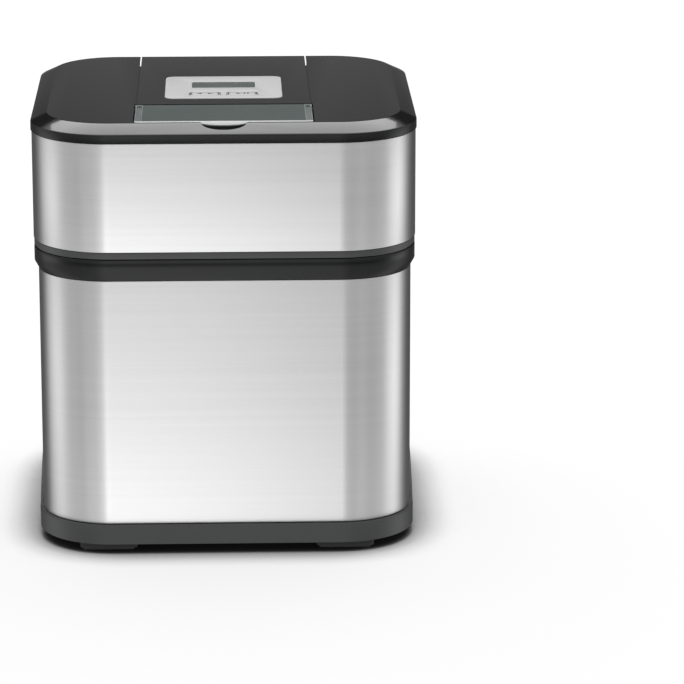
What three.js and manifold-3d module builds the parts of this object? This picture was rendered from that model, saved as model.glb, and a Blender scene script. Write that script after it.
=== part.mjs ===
// Ice cream maker: a housing with a freezer bowl in it, under a motor head with a filling flap.
// Millimetres. +X is to the right and +Y to the back, and the feet stand on z = 0.
import * as THREE from "three";
import { mergeVertices } from "three/addons/utils/BufferGeometryUtils.js";
import Module from "manifold-3d";

const wasm = await Module();
wasm.setup();

// Heights, from the table up.
const plateBottom = 5.2;
const ringTop = 15.7;
const lowerSteelTop = 146.6;
const partingHeight = 158;
const bandBottom = 162;
const trimBottom = 219;
const bevelFoot = 223.5;
const topHeight = 227.7;

// Half widths of the square outlines, and the distance from the middle to the corner arcs' centres.
const trimHalf = 100;
const topHalf = 91.15;
const bandHalf = 99.5;
const collarHalf = 99.2;
const lowerSteelHalf = 97.1;
const ringHalf = 98.9;
const headCore = 58.6;
const baseCore = 60;

// Walls and gaps.
const gap = 0.3;
const sheet = 0.8;
const wall = 2.5;

// Freezer bowl and its well.
const wellRadius = 86;
const wellFloor = 10;
const bowlRadius = 83.5;
const bowlInnerRadius = 67;
const bowlBottom = wellFloor + gap;
const bowlInnerFloor = 32;
const bowlWallTop = 150;
const bowlRimTop = 155.7;
const spigotRadius = 4;
const spigotTop = 46;

// Gear train: each stage is a small pinion that turns a large wheel.
const gearModule = 1.25;
const pinionTeeth = 12;
const wheelTeeth = 36;
const pressureAngle = THREE.MathUtils.degToRad(20);
const backlashShare = 0.16;
const axleDistance = (gearModule * (pinionTeeth + wheelTeeth)) / 2;
const shaftRadius = 5;
const couplingFlats = 10;
const couplingEnd = 138;
const hubTop = 152;

// Top of the head: console strip, control plate and filling flap.
const consoleHalf = 45.1;
const seam = 0.8;
const consoleFront = -42.8;
const ledgeHeight = 224.9;
const flapHalf = 45.8;
const flapFront = -88.5;
const hingeY = -46.6;
const hingeZ = 224.9;
const knuckleRadius = 2.8;
const pinRadius = 1.3;
const lipThick = 1;
const lipHalf = 12.4;
const lipReach = -91.9;
const controlTop = 228;
const boardTop = 220.6;
const controlThick = 1.1;
const windowBox = { x: 16.4, front: 0.3, back: 15.9 };
const buttonSize = { wide: 16, deep: 9 };
const buttonY = -16;
const buttonX = 9.9;

// Rear power inlet.
const inletX = 42;
const inletZ = 178;
const inlet = { body: [11, 6.5], flange: [14, 9.5], socket: [8.5, 4.5], pinReach: 4.3 };

const cornerSteps = 4;
const turnSteps = 36;

const plastic = (color, roughness) => ({ color, roughness, metalness: 0 });
const metal = (color, roughness) => ({ color, roughness, metalness: 1 });
const finishes = {
  brushedSteel: metal(0xc9cacb, 0.32),
  darkCover: plastic(0x4b4c4e, 0.5),
  darkTrim: plastic(0x2f3131, 0.4),
  baseMoulding: plastic(0x4a4b4b, 0.5),
  rubber: plastic(0x323232, 0.8),
  liner: plastic(0x55585a, 0.6),
  aluminium: metal(0xb9bcbe, 0.4),
  coolant: plastic(0x8fb9d6, 0.3),
  paddle: plastic(0xe6e6e2, 0.45),
  smoked: { color: 0x9fb0ae, roughness: 0.08, metalness: 0, transparent: true, opacity: 0.4 },
  silver: plastic(0xd2d3d2, 0.35),
  display: plastic(0x6e7674, 0.2),
  board: plastic(0x1f5a3a, 0.6),
  gear: plastic(0xe9e4d6, 0.5),
  steel: metal(0xb5b6b8, 0.3),
  bronze: metal(0xa9814e, 0.45),
  motorCan: metal(0x8f9296, 0.45),
  black: plastic(0x1c1c1d, 0.5),
};

// ---- Geometry helpers ----

// A closed geometry as a solid that can be joined and cut.
function solidOf(geometry) {
  geometry.deleteAttribute("normal");
  geometry.deleteAttribute("uv");
  const merged = mergeVertices(geometry, 1e-4);
  const triangles = [];
  for (let i = 0; i < merged.index.count; i += 3) {
    const [a, b, c] = [0, 1, 2].map((k) => merged.index.getX(i + k));
    if (a !== b && b !== c && c !== a) triangles.push(a, b, c);
  }
  return new wasm.Manifold(
    new wasm.Mesh({
      numProp: 3,
      vertProperties: merged.attributes.position.array,
      triVerts: new Uint32Array(triangles),
    }),
  );
}

// A solid as a geometry for a mesh.
function geometryOf(solid) {
  const mesh = solid.getMesh();
  const geometry = new THREE.BufferGeometry();
  geometry.setAttribute("position", new THREE.BufferAttribute(mesh.vertProperties, 3));
  geometry.setIndex(new THREE.BufferAttribute(mesh.triVerts, 1));
  const flat = geometry.toNonIndexed();
  flat.computeVertexNormals();
  return flat;
}

function roundedRectangle(left, front, right, back, radius) {
  const shape = new THREE.Shape();
  shape.moveTo(left + radius, front);
  shape.lineTo(right - radius, front);
  shape.absarc(right - radius, front + radius, radius, -Math.PI / 2, 0);
  shape.lineTo(right, back - radius);
  shape.absarc(right - radius, back - radius, radius, 0, Math.PI / 2);
  shape.lineTo(left + radius, back);
  shape.absarc(left + radius, back - radius, radius, Math.PI / 2, Math.PI);
  shape.lineTo(left, front + radius);
  shape.absarc(left + radius, front + radius, radius, Math.PI, Math.PI * 1.5);
  return shape;
}

const roundedSquare = (half, core) => roundedRectangle(-half, -half, half, half, half - core);

function slab(shape, low, high, steps = cornerSteps) {
  const options = { depth: high - low, bevelEnabled: false, curveSegments: steps };
  return solidOf(new THREE.ExtrudeGeometry(shape, options).translate(0, 0, low));
}

// A rounded square whose half width changes from its foot to its top, round the same corner centres.
function taperedSquare(lowHalf, highHalf, core, low, high) {
  const options = { depth: high - low, bevelEnabled: false, curveSegments: cornerSteps };
  const geometry = new THREE.ExtrudeGeometry(roundedSquare(lowHalf, core), options);
  const position = geometry.attributes.position;
  const scale = (highHalf - core) / (lowHalf - core);
  for (let i = 0; i < position.count; i++) {
    if (position.getZ(i) < (high - low) / 2) continue;
    const centreX = THREE.MathUtils.clamp(position.getX(i), -core, core);
    const centreY = THREE.MathUtils.clamp(position.getY(i), -core, core);
    const x = centreX + (position.getX(i) - centreX) * scale;
    const y = centreY + (position.getY(i) - centreY) * scale;
    position.setXY(i, x, y);
  }
  return solidOf(geometry.translate(0, 0, low));
}

// A square frame: a slab with a square hole right through.
function squareFrame(outerHalf, innerHalf, core, low, high) {
  return slab(roundedSquare(outerHalf, core), low, high).subtract(
    slab(roundedSquare(innerHalf, core), low - 1, high + 1),
  );
}

function block(left, right, front, back, low, high) {
  const geometry = new THREE.BoxGeometry(right - left, back - front, high - low);
  return solidOf(geometry.translate((left + right) / 2, (front + back) / 2, (low + high) / 2));
}

// A block whose four sides run from one rectangle at the foot to another at the top.
function taperedBlock(foot, top, low, high) {
  const geometry = new THREE.BoxGeometry(1, 1, high - low);
  const position = geometry.attributes.position;
  for (let i = 0; i < position.count; i++) {
    const area = position.getZ(i) < 0 ? foot : top;
    const x = position.getX(i) < 0 ? area.left : area.right;
    const y = position.getY(i) < 0 ? area.front : area.back;
    position.setXY(i, x, y);
  }
  return solidOf(geometry.translate(0, 0, (low + high) / 2));
}

function rod(radius, low, high, x = 0, y = 0, sides = 16) {
  const geometry = new THREE.CylinderGeometry(radius, radius, high - low, sides);
  return solidOf(geometry.rotateX(Math.PI / 2).translate(x, y, (low + high) / 2));
}

// A rod that lies along X.
function crossRod(radius, left, right, y, z, sides = 16) {
  const geometry = new THREE.CylinderGeometry(radius, radius, right - left, sides);
  return solidOf(geometry.rotateZ(Math.PI / 2).translate((left + right) / 2, y, z));
}

// A profile of [radius, height] points turned round the Z axis.
function turned(profile, steps = turnSteps) {
  const points = profile.map(([radius, height]) => new THREE.Vector2(radius, height));
  return solidOf(new THREE.LatheGeometry(points, steps).rotateX(Math.PI / 2));
}

const ringProfile = (inner, outer, low, high) => [
  [inner, low],
  [outer, low],
  [outer, high],
  [inner, high],
  [inner, low],
];

// A plain cup: outer and inner radius, and the heights of its underside, floor and mouth.
const cupProfile = (outer, inner, bottom, floor, mouth) => [
  [0, bottom],
  [outer, bottom],
  [outer, mouth],
  [inner, mouth],
  [inner, floor],
  [0, floor],
];

function hexagon(acrossFlats) {
  const shape = new THREE.Shape();
  for (let i = 0; i < 6; i++) {
    const angle = (i * Math.PI) / 3;
    const reach = acrossFlats / 2 / Math.cos(Math.PI / 6);
    const [x, y] = [reach * Math.cos(angle), reach * Math.sin(angle)];
    if (i === 0) shape.moveTo(x, y);
    else shape.lineTo(x, y);
  }
  return shape;
}

// A round lead along a smooth curve through the points.
function lead(points, radius, steps) {
  const path = new THREE.CatmullRomCurve3(points.map((p) => new THREE.Vector3(...p)));
  const section = new THREE.Shape();
  section.absarc(0, 0, radius, 0, Math.PI * 2);
  const options = { steps, extrudePath: path, curveSegments: 4, bevelEnabled: false };
  return solidOf(new THREE.ExtrudeGeometry(section, options));
}

const union = (solids) => solids.reduce((whole, next) => whole.add(next));

const holesAt = (places, radius, low, high) =>
  union(places.map(([x, y]) => rod(radius, low, high, x, y, 8)));

// The four corners of a square of this half width: front left, front right, rear right, rear left.
const corners = (half) => [
  [-half, -half],
  [half, -half],
  [half, half],
  [-half, half],
];

// ---- Lower housing ----

const plateHalf = 94;
const plateThick = 2;
const ledgeHalf = 88.5;
const ledgeLow = plateBottom + plateThick + gap;
const baseScrewPlace = 74.5;
const baseScrewHole = 1.9;
const padRadius = 9;
const arch = { halfChord: 59, rise: 24.1 };

// Dark moulding under the steel sleeve, with an arch that rises on the left and right sides.
function baseRing() {
  const frame = squareFrame(ringHalf, plateHalf + gap, baseCore, plateBottom, ringTop);
  const ledge = squareFrame(ringHalf - 1, ledgeHalf, baseCore, ledgeLow, ledgeLow + 2);
  const pads = corners(baseScrewPlace).map(([x, y]) => rod(padRadius, ledgeLow, ledgeLow + 2, x, y, 12));
  return union([frame, ledge, ...pads, sideArch(-1), sideArch(1)]).subtract(baseScrewHoles());
}

const baseScrewHoles = () => holesAt(corners(baseScrewPlace), baseScrewHole, 0, ringTop);

// The arch is a segment of a circle that stands just outside the steel.
function sideArch(side) {
  const { halfChord, rise } = arch;
  const radius = (halfChord ** 2 + rise ** 2) / (2 * rise);
  const inner = lowerSteelHalf + gap;
  const reach = halfChord + 2;
  const disc = crossRod(radius, inner, ringHalf, 0, ringTop + rise - radius, 72);
  const space = block(inner - 1, ringHalf + 1, -reach, reach, ringTop - 5, ringTop + rise + 1);
  const segment = disc.intersect(space);
  return side > 0 ? segment : segment.mirror([1, 0, 0]);
}

const basePlate = () => {
  const plate = slab(roundedSquare(plateHalf, baseCore), plateBottom, plateBottom + plateThick);
  return plate.subtract(baseScrewHoles());
};

// A foot about its own middle, standing on z = 0, a little narrower at the bottom.
function foot() {
  const soleTop = 1.2;
  const pad = slab(roundedRectangle(-15, -7, 15, 7, 3), soleTop, plateBottom - gap, 2);
  const sole = slab(roundedRectangle(-12.5, -5.5, 12.5, 5.5, 2.5), 0, soleTop + 0.1, 2);
  return pad.add(sole);
}

// A pan-head screw with its head's underside at z = 0 and its thread going up.
function screw(headRadius, headHeight, threadRadius, length) {
  return turned(
    [
      [0, -headHeight],
      [headRadius * 0.8, -headHeight],
      [headRadius, -headHeight * 0.5],
      [headRadius, 0],
      [threadRadius, 0],
      [threadRadius, length - threadRadius],
      [0, length],
    ],
    8,
  );
}

const lowerSteelShell = () =>
  squareFrame(lowerSteelHalf, lowerSteelHalf - sheet, baseCore, ringTop + gap, lowerSteelTop - gap);

const collarWall = 3.6;
const shelfTop = lowerSteelTop + 2;

// Dark ring on top of the sleeve: a straight band above a chamfer, with a shelf inside for the liner.
function collar() {
  const chamferTop = lowerSteelTop + 3.7;
  const innerHalf = collarHalf - collarWall;
  const outside = slab(roundedSquare(collarHalf, baseCore), chamferTop, partingHeight).add(
    taperedSquare(lowerSteelHalf, collarHalf, baseCore, lowerSteelTop, chamferTop),
  );
  const hollow = slab(roundedSquare(innerHalf, baseCore), shelfTop, partingHeight + 1);
  const opening = slab(roundedSquare(innerHalf - 3, baseCore), lowerSteelTop - 1, partingHeight);
  return outside.subtract(hollow).subtract(opening);
}

// Round well for the bowl, hung from a square flange that lies on the collar's shelf.
function liner() {
  const thick = 2;
  const flangeLow = shelfTop + gap;
  const flangeTop = flangeLow + thick;
  const well = turned(cupProfile(wellRadius + 1.6, wellRadius, wellFloor - thick, wellFloor, flangeTop));
  const flange = slab(roundedSquare(collarHalf - collarWall - gap, baseCore), flangeLow, flangeTop);
  return flange.subtract(rod(wellRadius, 0, partingHeight, 0, 0, turnSteps)).add(well);
}

// ---- Freezer bowl and paddle ----

const bowlWall = 1;
const rimRadius = bowlRadius + 1.7;

const bowlOuterWall = () =>
  turned(cupProfile(bowlRadius, bowlRadius - sheet, bowlBottom, bowlBottom + sheet, bowlWallTop));

// Inner cup with rounded lower corner and the spigot that the paddle turns on.
function bowlInnerWall() {
  const outer = bowlInnerRadius + bowlWall;
  return turned([
    [0, bowlInnerFloor - bowlWall],
    [outer - 5, bowlInnerFloor - bowlWall],
    [outer - 1.5, bowlInnerFloor + 0.5],
    [outer, bowlInnerFloor + 4],
    [outer, bowlWallTop],
    [bowlInnerRadius, bowlWallTop],
    [bowlInnerRadius, bowlInnerFloor + 4.4],
    [bowlInnerRadius - 1.3, bowlInnerFloor + 1.3],
    [bowlInnerRadius - 4.4, bowlInnerFloor],
    [spigotRadius + 2, bowlInnerFloor],
    [spigotRadius, bowlInnerFloor + 1.5],
    [spigotRadius, spigotTop - 1],
    [spigotRadius - 1, spigotTop],
    [0, spigotTop],
  ]);
}

const bowlRim = () =>
  turned([
    [bowlInnerRadius, bowlWallTop + gap],
    [rimRadius, bowlWallTop + gap],
    [rimRadius, bowlRimTop - 1.5],
    [rimRadius - 1.5, bowlRimTop],
    [bowlInnerRadius + 2, bowlRimTop],
    [bowlInnerRadius, bowlRimTop - 2],
    [bowlInnerRadius, bowlWallTop + gap],
  ]);

// Cold-storage filling between the two walls.
function coolant() {
  const inner = bowlInnerRadius + bowlWall + gap;
  const outer = bowlRadius - sheet - gap;
  const low = bowlBottom + sheet + gap;
  const underCup = bowlInnerFloor - bowlWall - gap;
  return turned([
    [0, low],
    [outer, low],
    [outer, bowlWallTop - gap],
    [inner, bowlWallTop - gap],
    [inner, underCup],
    [0, underCup],
  ]);
}

const paddleReach = 64.5;
const paddleFoot = 35.5;
const paddleTop = 122;
const paddleThick = 4;
const hubRadius = 9.5;
const paddleWindows = { near: 14, far: 52, heights: [[46, 74], [84, 110]] };

// A flat frame in the XZ plane with four windows, and a hub with sockets for spigot and drive shaft.
function paddle() {
  const frame = roundedRectangle(-paddleReach, paddleFoot, paddleReach, paddleTop, 7);
  const { near, far, heights } = paddleWindows;
  for (const [low, high] of heights) {
    frame.holes.push(roundedRectangle(near, low, far, high, 4));
    frame.holes.push(roundedRectangle(-far, low, -near, high, 4));
  }
  const options = { depth: paddleThick, bevelEnabled: false, curveSegments: 2 };
  const upright = new THREE.ExtrudeGeometry(frame, options);
  upright.rotateX(Math.PI / 2).translate(0, paddleThick / 2, 0);
  const hub = rod(hubRadius, paddleFoot, hubTop, 0, 0, 24);
  const spigotHole = rod(spigotRadius + 0.6, paddleFoot - 1, spigotTop + 2, 0, 0, 24);
  const socket = slab(hexagon(couplingFlats + 0.8), couplingEnd - 2, hubTop + 1);
  return solidOf(upright).add(hub).subtract(spigotHole).subtract(socket);
}

// ---- Motor head: shells ----

const headScrewPlace = 74;
const headScrewHole = 1.8;
const bossRadius = 4.5;
const bossFoot = 166;
const innerFrameHalf = 98.4;
const skirtHalf = 94.9;
const skirtFoot = 152.3;
const ribRadii = [74, 77];
const ledgeSide = 48.2;
const recessWallSide = 48.6;
const pinEnd = 48.3;
const rearSlotFront = 77;
const boardOpening = { left: -35, right: 35, front: -32, back: 42 };
const controlOpening = { left: -24, right: 24, front: -23, back: 19.5 };
const notch = { radius: 11.6, flatten: 0.48, y: -91, floor: 220.4, wallHalf: 14 };
const trayTop = bandBottom - gap;
const trayFloor = 160.2;
const flapRecess = { side: flapHalf + 0.6, front: flapFront - 0.6, floor: 221 };
const chuteTop = { left: -41, right: 41, front: -84, back: -52 };
const chuteFoot = { left: -30, right: 30, front: -60, back: -36 };
const chuteFootHeight = 159.6;

const areaBlock = (area, low, high) => block(area.left, area.right, area.front, area.back, low, high);

const grown = (area, by) => ({
  left: area.left - by,
  right: area.right + by,
  front: area.front - by,
  back: area.back + by,
});

// The cover's outside with its bevel, full to the bottom of the trim band.
const coverOutside = () =>
  slab(roundedSquare(trimHalf, headCore), trimBottom, bevelFoot).add(
    taperedSquare(trimHalf, topHalf, headCore, bevelFoot, topHeight),
  );

// Hollow below the cover's skin.
const coverHollow = () =>
  slab(roundedSquare(trimHalf - wall, headCore), trimBottom - 1, bevelFoot - 1).add(
    taperedSquare(trimHalf - wall, topHalf - 1.6, headCore, bevelFoot - 1, topHeight - wall),
  );

// Half-moon hollow in the front bevel, where a finger lifts the flap.
function fingerNotch() {
  const { radius, flatten, y, floor } = notch;
  const geometry = new THREE.CylinderGeometry(radius, radius - 1, topHeight - floor, 24);
  geometry.rotateX(Math.PI / 2).scale(1, flatten, 1);
  return solidOf(geometry.translate(0, y, (topHeight + floor) / 2 + 0.01));
}

function topCover() {
  const outside = coverOutside();
  const { side, front, floor } = flapRecess;
  const ledgeLow = ledgeHeight - wall;
  const recessLow = floor - 2.3;
  const parts = [
    outside.subtract(coverHollow()),
    outside.intersect(block(-ledgeSide, ledgeSide, consoleFront, trimHalf, ledgeLow, topHeight)),
    outside.intersect(block(-recessWallSide, recessWallSide, -91.5, -40.4, recessLow, topHeight)),
    outside.intersect(block(-notch.wallHalf, notch.wallHalf, -98.5, flapFront, notch.floor - 2, topHeight)),
    squareFrame(innerFrameHalf, innerFrameHalf - 2.2, headCore, 214, 221),
    ...corners(headScrewPlace).map(([x, y]) => rod(bossRadius, bossFoot, topHeight - wall + 0.5, x, y, 10)),
  ];
  const cutter = consoleHalf + seam;
  const rearSlots = [-1, 1].map((sign) => {
    const x = sign * (consoleHalf + seam / 2);
    return block(x - seam / 2, x + seam / 2, rearSlotFront, trimHalf + 1, trimBottom - 0.2, topHeight + 1);
  });
  const cuts = [
    block(-cutter, cutter, consoleFront - 0.5, trimHalf + 1, ledgeHeight, topHeight + 1),
    areaBlock(boardOpening, ledgeLow - 1, topHeight),
    block(-side, side, front, consoleFront, floor, topHeight + 1),
    areaBlock(chuteTop, 210, topHeight),
    fingerNotch(),
    slab(lipOutline(0.4), topHeight - lipThick - gap, topHeight + 1, 6),
    ...rearSlots,
    crossRod(pinRadius + gap, -pinEnd - 0.7, pinEnd + 0.7, hingeY, hingeZ),
    holesAt(corners(headScrewPlace), headScrewHole, 160, 188),
  ];
  return union(parts).subtract(union(cuts));
}

// Middle strip of the top, with a window under the control plate and posts for the board.
function consolePanel() {
  const low = ledgeHeight + gap;
  const strip = coverOutside().intersect(
    block(-consoleHalf, consoleHalf, consoleFront, trimHalf, low, topHeight),
  );
  const posts = [];
  for (const x of [-27.5, 27.5]) {
    for (const y of [-22, 26]) posts.push(rod(2.4, boardTop + gap, low + 1, x, y, 8));
  }
  const recess = slab(controlOutline(gap), controlTop - controlThick - gap, controlTop + 1);
  const opening = areaBlock(controlOpening, ledgeHeight, topHeight);
  return union([strip, ...posts]).subtract(recess).subtract(opening);
}

const upperSteelBand = () => {
  const band = squareFrame(bandHalf, bandHalf - sheet, headCore, bandBottom, trimBottom - gap);
  return band.subtract(inletBlock(inlet.body, gap, 90, trimHalf + 1));
};

// Bottom of the head: a floor with a rim under the steel band, a skirt that drops into the collar,
// and a round rib that holds the bowl down.
function headTray() {
  const innerSkirt = skirtHalf - 2;
  const rim = slab(roundedSquare(collarHalf, headCore), partingHeight + gap, trayTop);
  const below = slab(roundedSquare(innerSkirt, headCore), 150, trayFloor);
  const skirt = squareFrame(skirtHalf, innerSkirt, headCore, skirtFoot, trayFloor);
  const rib = turned(ringProfile(...ribRadii, bowlRimTop + 2 * gap, trayFloor + 0.5));
  const upstand = squareFrame(innerFrameHalf, innerFrameHalf - 2, headCore, trayTop - 1, 167);
  const pillars = corners(headScrewPlace).map(([x, y]) =>
    rod(bossRadius, trayTop - 1, bossFoot - gap, x, y, 10),
  );
  const cuts = [
    areaBlock(grown(chuteFoot, 2.9), 150, 170),
    rod(bushRadius + gap, 150, 170, 0, 0, 32),
    holesAt(corners(headScrewPlace), headScrewHole, 150, 170),
    holesAt(caseScrews, caseScrewHole, 150, 170),
  ];
  return union([rim.subtract(below), skirt, rib, upstand, ...pillars]).subtract(union(cuts));
}

// Square funnel from the flap's recess down to the bowl.
function fillChute() {
  const thick = 1.6;
  const top = flapRecess.floor - 2.3 - gap;
  const outside = taperedBlock(grown(chuteFoot, thick), grown(chuteTop, thick), chuteFootHeight, top);
  const flange = areaBlock(grown(chuteTop, 4.5), top - thick, top);
  const inside = taperedBlock(chuteFoot, chuteTop, chuteFootHeight - 0.02, top + 0.02);
  return outside.add(flange).subtract(inside);
}

// ---- Motor head: drive ----

const bushRadius = 8;
const caseLow = trayTop + gap;
const caseHigh = 186;
const caseWall = 2.2;
const caseFloor = 2;
const axleRadius = 2;
const middleAxle = [0, axleDistance];
const motorAxle = [-axleDistance, axleDistance];
const caseScrewHole = 1.8;
const lugHeight = 6;
const caseScrews = [
  [29, 63],
  [-46.5, 63],
  [-46.5, -29],
];

const caseOutline = (inset) =>
  roundedRectangle(-49 + inset, -31.5 + inset, 31.5 - inset, 65.5 - inset, 20 - inset);

// Open box round the gears, screwed to the head's floor through three lugs outside its corners.
function gearCase() {
  const hollow = slab(caseOutline(caseWall), caseLow + caseFloor, caseHigh + 1);
  const shell = slab(caseOutline(0), caseLow, caseHigh).subtract(hollow);
  const lugs = caseScrews.map(([x, y]) => rod(5.5, caseLow, caseLow + lugHeight, x, y, 12));
  const cuts = [
    rod(bushRadius + gap, caseLow - 1, caseLow + caseFloor + 1, 0, 0, 32),
    rod(axleRadius + gap, caseLow - 1, caseLow + caseFloor + 1, ...middleAxle, 16),
    holesAt(caseScrews, caseScrewHole, caseLow - 1, caseHigh),
  ];
  return union([shell, ...lugs]).subtract(union(cuts));
}

function gearCaseCover() {
  const plate = slab(caseOutline(0), caseHigh + gap, caseHigh + gap + 2);
  const axleHole = rod(axleRadius + gap, caseHigh, caseHigh + 4, ...middleAxle, 16);
  const shaftHole = rod(6, caseHigh, caseHigh + 4, ...motorAxle, 24);
  return plate.subtract(axleHole).subtract(shaftHole);
}

// The motor's can stands on the case cover, with a nose round its shaft and a domed end.
function motor() {
  const foot = caseHigh + gap + 2 + gap;
  const noseFoot = foot - 1.8;
  return turned(
    [
      [2, noseFoot],
      [5.5, noseFoot],
      [5.5, foot],
      [18, foot],
      [18, foot + 19],
      [15.5, foot + 21.5],
      [0, foot + 21.5],
      [0, foot + 12],
      [2, foot + 12],
      [2, noseFoot],
    ],
    32,
  );
}

// The half angle that a tooth takes up at a radius, on an involute flank.
function toothHalfAngle(teeth, radius) {
  const pitch = (teeth * gearModule) / 2;
  const base = pitch * Math.cos(pressureAngle);
  const involute = (r) => {
    const angle = Math.acos(Math.min(1, base / r));
    return Math.tan(angle) - angle;
  };
  return (Math.PI / 2 / teeth) * (1 - backlashShare) + involute(pitch) - involute(radius);
}

// Outline of a gear with its first tooth at the given angle.
function gearOutline(teeth, firstTooth) {
  const pitch = (teeth * gearModule) / 2;
  const radii = [pitch - 1.2 * gearModule, pitch, pitch + 0.8 * gearModule];
  const points = [];
  for (let tooth = 0; tooth < teeth; tooth++) {
    const middle = firstTooth + (tooth * 2 * Math.PI) / teeth;
    const flank = radii.map((radius) => [radius, toothHalfAngle(teeth, radius)]);
    const rising = flank.map(([radius, half]) => [radius, middle - half]);
    const falling = flank.map(([radius, half]) => [radius, middle + half]).reverse();
    for (const [radius, angle] of [...rising, ...falling]) {
      points.push(new THREE.Vector2(radius * Math.cos(angle), radius * Math.sin(angle)));
    }
  }
  return new THREE.Shape(points);
}

const wheelLow = 168;
const upperWheelLow = 177;
const wheelThick = 5;

// Large output wheel with a tooth towards the middle axle, bored for the output shaft.
function outputGear() {
  const rim = slab(gearOutline(wheelTeeth, Math.PI / 2), wheelLow, wheelLow + wheelThick);
  const hub = rod(9, wheelLow, wheelLow + wheelThick + 2, 0, 0, 24);
  return rim.add(hub).subtract(rod(shaftRadius + gap, caseLow, caseHigh, 0, 0, 24));
}

// Vertical shaft whose hexagonal end drives the paddle.
function outputShaft() {
  const journal = rod(shaftRadius, partingHeight, wheelLow + 8, 0, 0, 24);
  return journal.add(slab(hexagon(couplingFlats), couplingEnd, partingHeight + 0.5));
}

// Flanged bush in the head's floor and the gear case, which the output shaft turns in.
function outputBush() {
  const bore = shaftRadius + gap;
  const flangeRadius = bushRadius + 2;
  const flangeTop = trayFloor - gap;
  const foot = flangeTop - 1.3;
  const top = wheelLow - 1;
  return turned(
    [
      [bore, foot],
      [flangeRadius, foot],
      [flangeRadius, flangeTop],
      [bushRadius, flangeTop],
      [bushRadius, top],
      [bore, top],
      [bore, foot],
    ],
    24,
  );
}

// Pinion and wheel in one moulding, about its own axle.
function intermediateGear() {
  const pinionGap = -Math.PI / 2 + Math.PI / pinionTeeth;
  const pinion = slab(gearOutline(pinionTeeth, pinionGap), wheelLow - 1.5, upperWheelLow + 0.5);
  const wheel = slab(gearOutline(wheelTeeth, Math.PI), upperWheelLow, upperWheelLow + wheelThick);
  return pinion.add(wheel).subtract(rod(axleRadius + gap, caseLow, caseHigh, 0, 0, 16));
}

// Pinion on the motor's shaft, about its own axis.
function motorPinion() {
  const teeth = gearOutline(pinionTeeth, Math.PI / pinionTeeth);
  const pinion = slab(teeth, upperWheelLow - 1, upperWheelLow + wheelThick + 1.5);
  return pinion.add(rod(1.6, upperWheelLow, caseHigh + 13, 0, 0, 16));
}

const gearAxle = () => rod(axleRadius, caseLow, caseHigh + 2, 0, 0, 16);

// ---- Motor head: controls ----

const controlOutline = (grow) =>
  roundedRectangle(-31 - grow, -27.8 - grow, 31 + grow, 31.3 + grow, 5 + grow);

const buttonOutline = (x, grow) =>
  roundedRectangle(
    x - buttonSize.wide / 2 - grow,
    buttonY - buttonSize.deep / 2 - grow,
    x + buttonSize.wide / 2 + grow,
    buttonY + buttonSize.deep / 2 + grow,
    1.2,
  );

function windowOutline(grow) {
  const { x, front, back } = windowBox;
  return roundedRectangle(-x - grow, front - grow, x + grow, back + grow, 1);
}

function controlPlate() {
  const low = controlTop - controlThick;
  const cuts = [
    slab(windowOutline(gap), low - 1, controlTop + 1, 3),
    slab(buttonOutline(-buttonX, gap), low - 1, controlTop + 1, 3),
    slab(buttonOutline(buttonX, gap), low - 1, controlTop + 1, 3),
  ];
  return slab(controlOutline(0), low, controlTop).subtract(union(cuts));
}

const lcdWindow = () => slab(windowOutline(0), controlTop - controlThick, controlTop - 0.1, 3);

const plungerTop = 224;

// A button about its own middle: a cap in the plate and a stem above its switch.
function button() {
  const cap = slab(buttonOutline(0, 0), controlTop - 1.8, controlTop, 3);
  return cap.add(rod(2, plungerTop + 1.1, controlTop - 1, 0, buttonY, 12));
}

const boardLow = boardTop - 1.6;
const lcdModule = () => block(-20, 20, -2, 18, boardTop + gap, controlTop - controlThick - gap);
const circuitBoard = () => block(-30.5, 30.5, -26, 30, boardLow, boardTop);

// A push switch about its own middle: a square can and a round plunger.
const pushSwitch = () =>
  block(-3, 3, buttonY - 3, buttonY + 3, boardTop + gap, boardTop + 2.6).add(
    rod(1.5, boardTop + 2, plungerTop, 0, buttonY, 12),
  );

// ---- Filling flap ----

// A shallow lid with a skirt, two knuckles at its rear corners and a curved lip at the front.
function fillFlap() {
  const skin = 1.8;
  const plateLow = topHeight - 2.3;
  const skirtLow = flapRecess.floor + 0.6;
  const skirtBack = hingeY - 8;
  const barrelLength = 3.6;
  const outline = roundedRectangle(-flapHalf, flapFront, flapHalf, hingeY + 2.2, 1.5);
  const plate = slab(outline, plateLow, topHeight, 4);
  const around = block(-flapHalf, flapHalf, flapFront, skirtBack, skirtLow, plateLow + 0.5);
  const inside = flapHalf - skin;
  const hollow = block(-inside, inside, flapFront + skin, skirtBack + 1, skirtLow - 1, plateLow);
  const knuckles = [-1, 1].map((side) => {
    const ends = [side * (flapHalf - barrelLength), side * flapHalf];
    const [left, right] = ends.sort((a, b) => a - b);
    const barrel = crossRod(knuckleRadius, left, right, hingeY, hingeZ, 20);
    const arm = block(left, right, skirtBack - 0.2, hingeY, hingeZ - knuckleRadius, plateLow + 0.5);
    return barrel.add(arm);
  });
  const lip = slab(lipOutline(0), topHeight - lipThick, topHeight, 6);
  const bores = [-1, 1].map((side) => {
    const ends = [side * (flapHalf - barrelLength - 0.2), side * (flapHalf + 1)];
    return crossRod(pinRadius + gap, ...ends.sort((a, b) => a - b), hingeY, hingeZ, 16);
  });
  return union([plate, around.subtract(hollow), ...knuckles, lip]).subtract(union(bores));
}

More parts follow.
